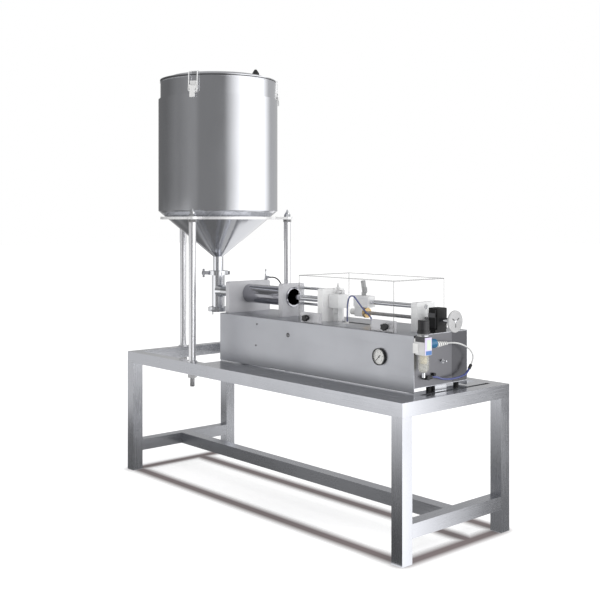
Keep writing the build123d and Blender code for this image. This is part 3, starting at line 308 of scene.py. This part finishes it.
clear_bowl = thin_clear("clear_bowl", (0.9, 0.9, 0.87, 1.0), 0.22)
gauge_glass = thin_clear("gauge_glass", grey(0.98), 0.05)
black_plastic = plastic("black_plastic", black, 0.42)
dark_plastic = plastic("dark_grey_plastic", (0.07, 0.07, 0.075), 0.45)
grey_plastic = plastic("grey_plastic", (0.33, 0.335, 0.34), 0.45)
light_plastic = plastic("light_grey_plastic", (0.66, 0.66, 0.665), 0.4)
wheel_plastic = plastic("wheel_plastic", (0.44, 0.44, 0.445), 0.4)
white_plastic = plastic("white_plastic", white, 0.4)
cream_filter = plastic("sintered_filter", (0.80, 0.70, 0.48), 0.9, 1600.0, 0.0003)
blue_plastic = plastic("blue_plastic", (0.012, 0.13, 0.27), 0.2, coat=0.5)
# Bend guard: white ribs, and grey rings of painted shade in the grooves
ribbed_white = striped_plastic("ribbed_white", (0.82, 0.82, 0.8, 1.0), (0.3, 0.3, 0.3, 1.0), 0.012)
counter_black = plastic("counter_black", (0.003, 0.003, 0.0035), 0.6)
black_rubber = plastic("black_rubber", (0.02, 0.02, 0.021), 0.75, 500.0, 0.0001)
gauge_enamel = plastic("black_enamel", (0.012, 0.012, 0.013), 0.25, 300.0, 0.00003, 0.3)
dial_white = plastic("dial_white", (0.86, 0.86, 0.84), 0.5, *printed)
label_white = plastic("label_white", (0.7, 0.64, 0.84), 0.45, *printed)
label_blue = plastic("label_blue", (0.08, 0.2, 0.5), 0.4, *printed)
label_green = plastic("label_green", (0.66, 0.78, 0.62), 0.45, *printed)
grey_tube = plastic("grey_tube", (0.62, 0.62, 0.62), 0.3, *drawn, 0.2)
blue_tube = plastic("blue_tube", (0.03, 0.045, 0.2), 0.16, *drawn, 0.7)
black_tube = plastic("black_tube", (0.02, 0.02, 0.022), 0.3, *drawn, 0.2)
brass = brushed_metal("brass", (0.72, 0.5, 0.22), 0.3, "x", 0.08)

node_materials = {
    "table_top_frame": stainless_top,
    "table_legs": stainless_z,
    "table_crossbars": stainless_bars,
    "box_pads": black_rubber,
    "stand_posts": post_steel,
    "stand_nuts": mirror_steel,
    "support_ring": ring_metal,
    "hopper_shell": hopper_steel,
    "hopper_lid": hopper_steel,
    "lid_gasket": black_rubber,
    "lid_handle": black_plastic,
    "lid_clamp_bases": latch_metal,
    "tee_valve": mirror_steel,
    "pipe_clamps": mirror_steel,
    "wing_nut_upper": mirror_steel,
    "wing_nut_lower": mirror_steel,
    "head_plate_base": head_metal,
    "head_plate_cap": head_metal,
    "middle_plate_base": head_metal,
    "middle_plate_cap": head_metal,
    "guide_plate": guide_metal,
    "end_plate_base": plate_metal,
    "end_plate_cap": plate_metal,
    "filling_cylinder": cylinder_steel,
    "piston": plate_metal,
    "piston_seals": black_rubber,
    "piston_rod": rod_chrome,
    "coupling_block": plate_metal,
    "coupling_fittings": light_plastic,
    "guide_rods": rod_chrome,
    "stop_block": plate_metal,
    "stop_lock_lever": grey_plastic,
    "lead_screw": thread_x,
    "counter": counter_black,
    "handwheel": wheel_plastic,
    "box_shell": stainless_x,
    "end_panels": panel_steel,
    "gauge_case": gauge_enamel,
    "gauge_needle": gauge_enamel,
    "guard": clear_acrylic,
    "guard_blocks": head_metal,
    "guard_knob_left": black_plastic,
    "guard_knob_right": black_plastic,
    "regulator_body": grey_plastic,
    "regulator_knob": black_plastic,
    "regulator_bowl": clear_bowl,
    "filter_element": cream_filter,
    "air_fittings": blue_plastic,
    "toggle_lever": rod_chrome,
    "flow_control": mirror_steel,
}
for side in ("front", "right", "rear"):
    node_materials[f"latch_lever_{side}"] = latch_metal
    node_materials[f"latch_bail_{side}"] = latch_metal


def paint(piece, material):
    """Gives a piece one material."""
    piece.data.materials.clear()
    piece.data.materials.append(material)


def dress_nodes():
    """Gives each carried-over node its finish."""
    for name, material in node_materials.items():
        node = nodes[name]
        if node.material_slots:
            for slot in node.material_slots:
                slot.material = material
        else:
            node.data.materials.append(material)


dress_nodes()


# A reach past everything, for ranges that are open at one end or both
far = 9.0
anywhere = (-far, far)


def dress_part(name, material, x=anywhere, y=anywhere, z=anywhere):
    """Gives the faces of a node whose middles lie in these ranges their own finish."""
    node = nodes[name]
    mesh = node.data
    mesh.materials.append(material)
    index = len(mesh.materials) - 1
    for face in mesh.polygons:
        middle = node.matrix_world @ face.center
        if all(low <= value <= high for value, (low, high) in zip(middle, (x, y, z))):
            face.material_index = index


# Stop block: bumper and brass nut
bumper_inset = 0.0801
nut_inset = 0.0332
nut_length = 0.0124
nut_rise = 0.0379
nut_start = stop_high[0] - nut_inset
nut_top = stop_low[2] + nut_rise
dress_part("stop_block", white_plastic, x=(-far, stop_high[0] - bumper_inset))
dress_part("stop_block", brass, x=(nut_start, nut_start + nut_length), z=(-far, nut_top))

# Guard: its cut edges and its bends show darker than the sheet
hair = 0.0004
bend = 0.0041
guard_roof = (guard_high[2] - bend, far)
dress_part("guard", acrylic_edge, x=(-far, guard_low[0] + hair))
dress_part("guard", acrylic_edge, x=(guard_high[0] - hair, far))
dress_part("guard", acrylic_edge, z=(-far, guard_low[2] + hair))
dress_part("guard", acrylic_edge, y=(-far, guard_low[1] + bend), z=guard_roof)
dress_part("guard", acrylic_edge, y=(guard_high[1] - bend, far), z=guard_roof)

# Table top faces in painted light, threads and nuts of the posts, rear end panel, plain end of the stroke
# screw
stud_rise = 0.1845
panel_seam = 0.0593
# Upward faces of the table frame and crossbars get the lighter copy of the steel: painted light
for name in ("table_top_frame", "table_crossbars"):
    dress_part(name, painted_lit_top_steel, z=(table_high[2] - hair, far))
dress_part("stand_posts", thread_z, z=(-far, table_low[2]))
dress_part("stand_posts", thread_z, z=(hopper_low[2] + stud_rise, far))
dress_part("stand_nuts", nut_steel, z=(-far, table_low[2]))
dress_part("end_panels", panel_dark, y=(panel_seam, far))
dress_part("lead_screw", rod_chrome, x=(counter_high[0], far))

# The regulator: dark ribbed head, light body, chrome ring, white bracket
rib_bottom = body_high[2] - 0.034
bonnet_base = body_high[2] - 0.010
chrome_ring = (bonnet_base + 0.0022, bonnet_base + 0.0048)
bracket_depth = 0.0056
bracket_width = 0.0039
dress_part("regulator_body", light_plastic, z=(-far, rib_bottom))
dress_part("regulator_body", dark_plastic, z=(rib_bottom, bonnet_base))
dress_part("regulator_body", mirror_steel, z=chrome_ring)
dress_part("regulator_body", white_plastic, x=(-far, body_low[0] + bracket_depth))
dress_part("regulator_body", white_plastic, y=(-far, body_low[1] + bracket_width))

# Fittings by the end panel: finish, and ranges outward from it, across the table and up from the box's bottom
panel_fittings = {
    "bend guard": (ribbed_white, (0.011, 0.051), (-0.0675, -0.004), (0.130, 0.170)),
    "drain": (mirror_steel, (0.011, 0.041), (-0.140, -0.115), (-0.020, 0.055)),
    "elbow": (black_plastic, (-0.009, 0.031), (-0.108, -0.073), (0.020, 0.050)),
    "plug": (black_plastic, (-0.009, 0.011), (-0.060, -0.035), (0.034, 0.050)),
    "hose union": (black_plastic, (0.011, 0.041), (0.115, 0.140), (0.030, 0.070)),
    "switch base": (mirror_steel, (-0.009, 0.011), (-0.010, 0.015), (0.070, 0.100)),
}
for material, reach, across, rise in panel_fittings.values():
    outward = (box_high[0] + reach[0], box_high[0] + reach[1])
    upward = (box_low[2] + rise[0], box_low[2] + rise[1])
    dress_part("air_fittings", material, outward, across, upward)

# The tube glands in the box top
gland_range = (box_high[2] - 0.007, box_high[2] + 0.013)
dress_part("air_fittings", white_plastic, z=gland_range)


# Pieces


class Shape:
    """A mesh put together from turned forms and boxes, each at its own place."""

    def __init__(self):
        self.corners = []
        self.faces = []

    def put(self, corners, faces, place):
        """Adds corners and faces, moved by a matrix."""
        start = len(self.corners)
        self.corners += [tuple(place @ Vector(corner)) for corner in corners]
        self.faces += [tuple(start + index for index in face) for face in faces]

    def turned(self, profile, place, steps):
        """A turned form about local Z, from (radius, height) points, closed at both ends."""
        corners = []
        faces = []
        for radius, height in profile:
            for step in range(steps):
                angle = 2 * math.pi * step / steps
                corners.append((radius * math.cos(angle), radius * math.sin(angle), height))
        for ring in range(len(profile) - 1):
            for step in range(steps):
                first = ring * steps + step
                following = ring * steps + (step + 1) % steps
                faces.append((first, following, following + steps, first + steps))
        last = (len(profile) - 1) * steps
        faces.append(tuple(range(steps - 1, -1, -1)))
        faces.append(tuple(range(last, last + steps)))
        self.put(corners, faces, place)

    def box(self, low, high, place=Matrix()):
        """A box between two corners."""
        corners = [(x, y, z) for x in (low[0], high[0]) for y in (low[1], high[1]) for z in (low[2], high[2])]
        faces = [(0, 1, 3, 2), (4, 6, 7, 5), (0, 4, 5, 1), (2, 3, 7, 6), (0, 2, 6, 4), (1, 5, 7, 3)]
        self.put(corners, faces, place)

    def mesh(self, name):
        """The finished mesh, smooth where faces meet gently."""
        mesh = bpy.data.meshes.new(name)
        mesh.from_pydata(self.corners, [], self.faces)
        mesh.validate()
        build = bmesh.new()
        build.from_mesh(mesh)
        bmesh.ops.recalc_face_normals(build, faces=build.faces)
        for edge in build.edges:
            edge.smooth = edge.is_manifold and edge.calc_face_angle(math.pi) < math.radians(35)
        for face in build.faces:
            face.smooth = True
        build.to_mesh(mesh)
        build.free()
        return mesh


def facing(place, direction):
    """A place whose local Z points along a direction."""
    return Matrix.Translation(place) @ Vector(direction).to_track_quat("Z", "Y").to_matrix().to_4x4()


UP = (0, 0, 1)
FRONT = (0, -1, 0)
RIGHT = (1, 0, 0)


def add_piece(name, data, material, body="machine"):
    """Puts a finished mesh or curve into the scene, with its material and body."""
    piece = bpy.data.objects.new(name, data)
    bpy.context.scene.collection.objects.link(piece)
    paint(piece, material)
    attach(piece, body)
    return piece


# Socket head screws in the caps of the split plates

screw_radius = 0.0062
screw_height = 0.0074
screw_bevel = 0.0006
socket_radius = 0.0034
socket_floor = 0.0040
socket_profile = (
    (screw_radius, 0.0),
    (screw_radius, screw_height - screw_bevel),
    (screw_radius - screw_bevel, screw_height),
    (socket_radius, screw_height),
    (socket_radius, socket_floor),
)
counterbore = 0.008
head_spread = 0.084
end_spread = 0.034
screw_steps = 24
cap_screws = Shape()
for side in (-1, 1):
    for low, high, screw_spread in ((head_low, head_high, head_spread), (end_low, end_high, end_spread)):
        seat = ((low[0] + high[0]) / 2, side * screw_spread, high[2] - counterbore)
        cap_screws.turned(socket_profile, facing(seat, UP), screw_steps)
add_piece("cap_screws", cap_screws.mesh("cap_screws"), mirror_steel)

# Pressure gauge: dial with plain numbers, and its glass

gauge_centre = (gauge_low + gauge_high) / 2
dial_depth = 0.0052
dial_radius = 0.0275
dial_half = 0.0001
dial_place = facing((gauge_centre[0], gauge_low[1] + dial_depth, gauge_centre[2]), FRONT)
round_steps = 64
dial = Shape()
dial.turned(((dial_radius, -dial_half), (dial_radius, dial_half)), dial_place, round_steps)
add_piece("gauge_dial", dial.mesh("gauge_dial"), dial_white)

dial_steps = 10
fine_steps = 5
dial_start = math.radians(225)
dial_sweep = math.radians(270)
mark_end = 0.0258
main_mark = (0.0215, 0.00035)
fine_mark = (0.0235, 0.00018)
marks = Shape()
for step in range(fine_steps * dial_steps + 1):
    mark_start, half = fine_mark if step % fine_steps else main_mark
    angle = dial_start - dial_sweep * step / (fine_steps * dial_steps)
    place = dial_place @ Matrix.Rotation(angle, 4, "Z")
    marks.box((mark_start, -half, dial_half), (mark_end, half, 2 * dial_half), place)
add_piece("gauge_marks", marks.mesh("gauge_marks"), black_plastic)

number_size = 0.0062
number_reach = 0.0172
number_lift = 0.00015
for step in range(0, dial_steps + 1, 2):
    angle = dial_start - dial_sweep * step / dial_steps
    digits = bpy.data.curves.new(f"gauge_number_{step}", "FONT")
    digits.body = str(step)
    digits.size = number_size
    digits.align_x = "CENTER"
    digits.align_y = "CENTER"
    number = add_piece(f"gauge_number_{step}", digits, black_plastic)
    spot = (number_reach * math.cos(angle), number_reach * math.sin(angle), number_lift)
    number.matrix_world = dial_place @ Matrix.Translation(spot)

glass_radius = 0.0279
glass_thickness = 0.0012
glass_depth = 0.0016
glass_place = facing((gauge_centre[0], gauge_low[1] + glass_depth, gauge_centre[2]), FRONT)
glass = Shape()
glass.turned(((glass_radius, 0.0), (glass_radius, glass_thickness)), glass_place, round_steps)
add_piece("gauge_glass", glass.mesh("gauge_glass"), gauge_glass)

# Skirts of the box cover: its long walls hang below the end panels, down to the table

skirt_drop = 0.0165
sheet = 0.0025
skirts = Shape()
for y in (box_low[1], box_high[1] - sheet):
    skirts.box((box_low[0], y, box_low[2] - skirt_drop), (box_high[0], y + sheet, box_low[2]))
add_piece("box_skirts", skirts.mesh("box_skirts"), stainless_x)

# Screws and a plug in the front of the box: distance from its left end, height above its bottom, radius

front_screws = ((0.257, 0.158, 0.0036), (0.250, 0.069, 0.0036), (0.456, 0.130, 0.0090))
pan_rim = 0.0012
pan_shoulder = 0.0026
pan_top = 0.0030
pan_heads = Shape()
for along_box, rise, radius in front_screws:
    slot_radius = 0.35 * radius
    pan = (
        (radius, 0.0),
        (radius, pan_rim),
        (0.8 * radius, pan_shoulder),
        (slot_radius, pan_top),
        (slot_radius, pan_rim),
    )
    pan_place = (box_low[0] + along_box, box_low[1], box_low[2] + rise)
    pan_heads.turned(pan, facing(pan_place, FRONT), screw_steps)
add_piece("front_screws", pan_heads.mesh("front_screws"), screw_steel)

# Plates on the regulator: a pale strip and a plain label in three fields. Sides are given from the front of
# the regulator, foot and top from the label's top.

label_top = body_high[2] - 0.0125
label_sheet = 0.0004
label_margin = 0.001
label_sides = (0.0104, 0.0400)
label_parts = (
    ("regulator_strip", label_white, (0.0050, 0.0098), (-0.078, 0.0)),
    ("regulator_label_top", label_white, label_sides, (-0.046, 0.0)),
    ("regulator_label_field", label_green, (0.0160, 0.0355), (-0.042, -0.008)),
    ("regulator_label_foot", label_blue, label_sides, (-0.064, -0.0465)),
)
for name, material, (left, right), (foot, top) in label_parts:
    start = body_high[0] + (label_sheet if material is label_green else 0.0)
    bottom = max(label_top + foot, body_low[2] + label_margin)
    plate = Shape()
    plate.box(
        (start, body_low[1] + left, bottom),
        (start + label_sheet, body_low[1] + right, label_top + top),
    )
    add_piece(name, plate.mesh(name), material)

# Counter: the dark number window, and two lighter strips near the sides of its front that are painted
# highlights

window_side = 0.008
window_drop = (0.034, 0.018)
line_inset = 0.006
line_half = 0.0006
line_foot = 0.016
proud = 0.0002
sunk = 0.0003
front_sheet = (counter_low[1] - proud, counter_low[1] + sunk)
window = Shape()
window.box(
    (counter_low[0] + window_side, front_sheet[0], counter_high[2] - window_drop[0]),
    (counter_high[0] - window_side, front_sheet[1], counter_high[2] - window_drop[1]),
)
# Two lighter strips near the ends of the front: painted highlights
for x in (counter_low[0] + line_inset, counter_high[0] - line_inset):
    window.box(
        (x - line_half, front_sheet[0], counter_low[2] + line_foot),
        (x + line_half, front_sheet[1], counter_high[2] - line_inset),
    )
add_piece("counter_window_and_painted_highlights", window.mesh("counter_window_and_painted_highlights"), dark_plastic)

# Hub cap of the handwheel

hub_radius = 0.0046
hub_bevel = 0.0010
hub_base = -0.0008
hub_rim = 0.0010
hub_top = 0.0016
hub_profile = ((hub_radius, hub_base), (hub_radius, hub_rim), (hub_radius - hub_bevel, hub_top))
hub_seat = (wheel_high[0], (wheel_low[1] + wheel_high[1]) / 2, (wheel_low[2] + wheel_high[2]) / 2)
hub = Shape()
hub.turned(hub_profile, facing(hub_seat, RIGHT), screw_steps)
add_piece("wheel_hub_cap", hub.mesh("wheel_hub_cap"), mirror_steel, "screw")

# Air hoses and tubes: the same routes as the solids, as smooth curves

hose_plane = 0.818
hose_upper_route = (
    (hose_plane, -0.0048, 0.722),
    (hose_plane, 0.032, 0.722),
    (hose_plane, 0.078, 0.712),
    (hose_plane, 0.118, 0.695),
    (hose_plane, 0.143, 0.673),
    (hose_plane, 0.147, 0.650),
    (hose_plane, 0.133, 0.632),
)
hose_lower_route = (
    (hose_plane, 0.122, 0.61786),
    (hose_plane, 0.108, 0.59986),
    (0.816, 0.070, 0.592),
    (0.813, 0.024, 0.589),
    (0.809, -0.020, 0.594),
    (0.806, -0.050, 0.606),
    (0.806, -0.074, 0.606),
)
gland_top = 0.7657
tube_black_route = (
    (-0.3047, 0.102, 0.905),
    (-0.281, 0.102, 0.907),
    (-0.256, 0.102, 0.902),
    (-0.235, 0.102, 0.889),
    (-0.219, 0.101, 0.868),
    (-0.208, 0.100, 0.840),
    (-0.199, 0.100, 0.804),
    (-0.199, 0.100, gland_top),
)
tube_blue_route = (
    (0.350, -0.046, gland_top),
    (0.350, -0.046, 0.800),
    (0.351, -0.046, 0.836),
    (0.360, -0.045, 0.864),
    (0.382, -0.044, 0.870),
    (0.404, -0.044, 0.850),
    (0.433, -0.045, 0.824),
    (0.462, -0.046, 0.803),
    (0.485, -0.046, 0.789),
    (0.485, -0.046, gland_top),
)


def hose(name, route, radius, material):
    """A hose along a smooth curve, in place of its solid."""
    curve = bpy.data.curves.new(name, "CURVE")
    curve.dimensions = "3D"
    curve.bevel_depth = radius
    curve.bevel_resolution = 5
    curve.resolution_u = 16
    curve.use_fill_caps = True
    spline = curve.splines.new("NURBS")
    spline.points.add(len(route) - 1)
    for point, place in zip(spline.points, route):
        point.co = (*place, 1.0)
    spline.order_u = 3
    spline.use_endpoint_u = True
    piece = add_piece(f"{name}_line", curve, material)
    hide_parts(name)


hose("hose_upper", hose_upper_route, 0.003, grey_tube)
hose("hose_lower", hose_lower_route, 0.004, blue_tube)
hose("tube_black", tube_black_route, 0.003, black_tube)
hose("tube_blue", tube_blue_route, 0.003, blue_tube)


# Studio

scene = bpy.context.scene
view_azimuth = 48.19
toward_camera = math.radians(view_azimuth - 90)


def stage_mesh(name, corners, faces, material):
    """A piece of the studio."""
    mesh = bpy.data.meshes.new(name)
    mesh.from_pydata(corners, [], faces)
    piece = bpy.data.objects.new(name, mesh)
    scene.collection.objects.link(piece)
    paint(piece, material)
    return piece


# Painted shadows on the floor below the rails: half width where darkest, half width in all, depth, shift
# toward the rear, place of the middle band
shadow_core = 0.013
shadow_edge = 0.056
shadow_depth = 0.84
shadow_shift = 0.010
middle_band = 0.10
shadow_color = (0.05, 0.0, 0.0, 1.0)
floor_glow = 0.55
tube_half = 0.025
rail_x = table_high[0] - tube_half
rail_y = table_high[1] - tube_half


def line_shade(tree, across, along, place, reach):
    """The painted shadow band of a rail on the floor below it."""
    off = calculate(tree, "ABSOLUTE", calculate(tree, "SUBTRACT", across, place))
    side = spread(tree, off, 1.0, 0.0, shadow_core, shadow_edge)
    past = spread(tree, calculate(tree, "ABSOLUTE", along), 1.0, 0.0, reach, reach + shadow_edge)
    return calculate(tree, "MULTIPLY", side, past)


def floor_material():
    """A white floor with painted soft shadows below the rails of the table."""
    material, tree, shader = new_material("white_floor_painted_shadows")
    x, y, z = split_place(tree)
    # Painted shadows: the floor's colour and glow darken in bands below the rails
    shaded = line_shade(tree, y, x, middle_band, rail_x)
    for place in (shadow_shift - rail_y, shadow_shift + rail_y):
        shaded = calculate(tree, "MAXIMUM", shaded, line_shade(tree, y, x, place, rail_x))
    for place in (-rail_x, rail_x):
        shaded = calculate(tree, "MAXIMUM", shaded, line_shade(tree, x, y, place, rail_y))
    shaded = calculate(tree, "MULTIPLY", shaded, shadow_depth)
    open_part = calculate(tree, "SUBTRACT", 1.0, shaded)
    feed(tree, shader, "Base Color", blend_colors(tree, shaded, grey(0.8), shadow_color))
    feed(tree, shader, "Roughness", 1.0)
    feed(tree, shader, "Specular IOR Level", 0.0)
    feed(tree, shader, "Emission Color", grey(1.0))
    feed(tree, shader, "Emission Strength", calculate(tree, "MULTIPLY", open_part, floor_glow))
    return material


floor_reach = 40.0
floor = stage_mesh(
    "floor",
    [
        (-floor_reach, -floor_reach, 0),
        (floor_reach, -floor_reach, 0),
        (floor_reach, floor_reach, 0),
        (-floor_reach, floor_reach, 0),
    ],
    [(0, 1, 2, 3)],
    floor_material(),
)
floor.visible_glossy = False

# The room that polished surfaces see: grey cards with a wide white window at the camera's right

room_radius = 7.0
room_height = 7.0
base_tone = 0.24
edge_tone = 0.16
streak_tone = 0.31
window_tone = 1.5
near_window_tone = 2.5
left_tones = (0.82, 1.3)
back_tone = 0.52
behind_tone = 0.95
foot_tone = 0.11
ceiling_tone = 0.5

# Bands by turn from the camera, in degrees to its right: where each rises, and where it falls
edge_band = ((-160.0, -150.0), (-110.0, -85.0))
streak_band = ((-75.0, -55.0), (-42.0, -34.0))
back_bands = (((100.0, 130.0), (190.0, 191.0)), ((-191.0, -190.0), (-168.0, -150.0)))
left_band = ((-140.0, -125.0), (-60.0, -45.0))
left_slope = (-105.0, -75.0)
low_window_band = ((2.0, 25.0), (100.0, 110.0))
high_window_band = ((15.0, 49.0), (108.0, 128.0))

# Heights where the tones change: floor to wall, top of the left card, end of the floor, wall to ceiling
wall_rise = (0.3, 1.2)
left_fall = (0.7, 1.3)
floor_fall = (0.02, 0.25)
ceiling_rise = (3.5, 6.5)

# Half length and half width of the place that the machine takes on the floor
standing_place = (0.87, 0.3)

# The edge of the low window runs aslant over the floor
window_slant = 1.14
window_edge = (-1.5, -0.8)

# The pale floor behind the machine: away from the camera, clear of the machine, and not at the camera's left
behind_edge = (-0.9, -0.4)
behind_gap = (0.05, 0.3)
behind_side = (-1.1, -0.7)

# How far from the machine the left card starts
left_gap = (0.9, 1.7)

# The dark floor in front of the machine's right half: nearness to it, front edge, range along the table
foot_gap = (0.25, 0.75)
foot_edge = (-0.31, -0.297)
foot_band = ((0.15, 0.4), (0.87, 0.9))


def product(tree, first, *others):
    """Several values multiplied."""
    for other in others:
        first = calculate(tree, "MULTIPLY", first, other)
    return first


def rising(tree, value, ends):
    """0 before a range, 1 past it."""
    return spread(tree, value, 0.0, 1.0, *ends)


def falling(tree, value, ends):
    """1 before a range, 0 past it."""
    return spread(tree, value, 1.0, 0.0, *ends)


def between(tree, value, band):
    """1 inside a band with soft ends, 0 outside."""
    rise, fall = band
    return product(tree, rising(tree, value, rise), falling(tree, value, fall))


def mix_tone(tree, factor, first, second):
    """A tone between two tones."""
    node = add(tree, "ShaderNodeMix", {"Factor": factor}, data_type="FLOAT")
    for name, value in (("A", first), ("B", second)):
        if isinstance(value, bpy.types.NodeSocket):
            tree.links.new(value, node.inputs[name])
        else:
            node.inputs[name].default_value = value
    return node.outputs["Result"]


def squared_reach(tree, value, half):
    """The square of how far a value lies past a half size."""
    off = calculate(tree, "SUBTRACT", calculate(tree, "ABSOLUTE", value), half)
    return calculate(tree, "POWER", calculate(tree, "MAXIMUM", off, 0.0), 2.0)


def room_material():
    """Tones by direction from the camera and by place on the floor and the wall."""
    material, tree, shader = new_material("studio_room")
    x, y, z = split_place(tree)
    cos_view = math.cos(toward_camera)
    sin_view = math.sin(toward_camera)
    toward = calculate(tree, "ADD", product(tree, x, cos_view), product(tree, y, sin_view))
    right = calculate(tree, "SUBTRACT", product(tree, y, cos_view), product(tree, x, sin_view))
    turn = product(tree, calculate(tree, "ARCTAN2", right, toward), 180 / math.pi)
    high = rising(tree, z, wall_rise)
    low = falling(tree, z, floor_fall)
    squares = calculate(
        tree,
        "ADD",
        squared_reach(tree, x, standing_place[0]),
        squared_reach(tree, y, standing_place[1]),
    )
    away = calculate(tree, "SQRT", squares)

    tone = mix_tone(tree, between(tree, turn, edge_band), base_tone, edge_tone)
    tone = mix_tone(tree, product(tree, between(tree, turn, streak_band), high), tone, streak_tone)
    for band in back_bands:
        tone = mix_tone(tree, between(tree, turn, band), tone, back_tone)

    behind = product(tree, falling(tree, toward, behind_edge), rising(tree, away, behind_gap))
    behind = product(tree, behind, rising(tree, right, behind_side), low)
    tone = mix_tone(tree, behind, tone, behind_tone)

    left = product(tree, between(tree, turn, left_band), rising(tree, away, left_gap))
    left = product(tree, left, falling(tree, z, left_fall))
    tone = mix_tone(tree, left, tone, spread(tree, turn, *left_tones, *left_slope))

    past_line = calculate(tree, "SUBTRACT", y, product(tree, x, window_slant))
    low_window = product(tree, between(tree, turn, low_window_band), falling(tree, past_line, window_edge))
    window = mix_tone(tree, high, low_window, between(tree, turn, high_window_band))
    tone = mix_tone(tree, window, tone, mix_tone(tree, high, near_window_tone, window_tone))

    foot = product(tree, falling(tree, away, foot_gap), low, falling(tree, y, foot_edge))
    tone = mix_tone(tree, product(tree, foot, between(tree, x, foot_band)), tone, foot_tone)
    tone = mix_tone(tree, rising(tree, z, ceiling_rise), tone, ceiling_tone)

    feed(tree, shader, "Base Color", grey(0.0))
    feed(tree, shader, "Specular IOR Level", 0.0)
    feed(tree, shader, "Emission Color", grey(1.0))
    feed(tree, shader, "Emission Strength", tone)
    return material


def studio_room():
    """Floor card, round wall and ceiling, seen only by shiny surfaces."""
    steps = 96
    lift = 0.001
    cove = 1.0
    cove_bend = 0.3
    dome = 2.0
    outline = (
        (0.0, lift),
        (room_radius - cove, lift),
        (room_radius - cove_bend, cove_bend),
        (room_radius, cove),
        (room_radius, room_height - dome),
        (room_radius - dome, room_height),
        (0.0, room_height),
    )
    corners = []
    faces = []
    for reach, height in outline:
        for step in range(steps):
            angle = 2 * math.pi * step / steps
            corners.append((reach * math.cos(angle), reach * math.sin(angle), height))
    for ring in range(len(outline) - 1):
        for step in range(steps):
            first = ring * steps + step
            following = ring * steps + (step + 1) % steps
            faces.append((first, following, following + steps, first + steps))
    room = stage_mesh("studio_room", corners, faces, room_material())
    room.visible_camera = False
    room.visible_diffuse = False
    room.visible_transmission = False
    room.visible_shadow = False


studio_room()

world = bpy.data.worlds.new("studio")
scene.world = world
world.use_nodes = True
world_tree = world.node_tree
background = world_tree.nodes["Background"]
world_rays = add(world_tree, "ShaderNodeLightPath").outputs
world_seen = calculate(world_tree, "MAXIMUM", world_rays["Is Camera Ray"], world_rays["Is Transmission Ray"])
background.inputs["Color"].default_value = grey(1.0)
ambient = 0.8
world_tree.links.new(
    spread(world_tree, world_seen, ambient, 1.0, 0.0, 1.0),
    background.inputs["Strength"],
)


def area_light(name, place, target, size, power):
    """A soft box at place, facing target, that shiny surfaces don't mirror."""
    lamp = bpy.data.lights.new(name, "AREA")
    lamp.shape = "RECTANGLE"
    lamp.size = size[0]
    lamp.size_y = size[1]
    lamp.energy = power
    holder = bpy.data.objects.new(name, lamp)
    scene.collection.objects.link(holder)
    holder.location = place
    holder.rotation_euler = (Vector(target) - Vector(place)).to_track_quat("-Z", "Y").to_euler()
    holder.visible_glossy = False


area_light("key_light", (3.4, 0.8, 3.4), (0.3, 0.0, 0.7), (2.4, 2.4), 60.0)

# Camera, at the photograph's place

camera_data = bpy.data.cameras.new("camera")
camera_data.sensor_width = 36.0
camera_data.lens = 57.6
camera_data.shift_x = -0.0138
camera_data.shift_y = -0.131
camera_data.clip_end = 100.0
camera = bpy.data.objects.new("camera", camera_data)
scene.collection.objects.link(camera)
camera.location = (3.0482, -2.6638, 1.1577)
camera.rotation_euler = (math.radians(90), 0.0, math.radians(view_azimuth))
scene.camera = camera
scene.view_settings.view_transform = "Standard"
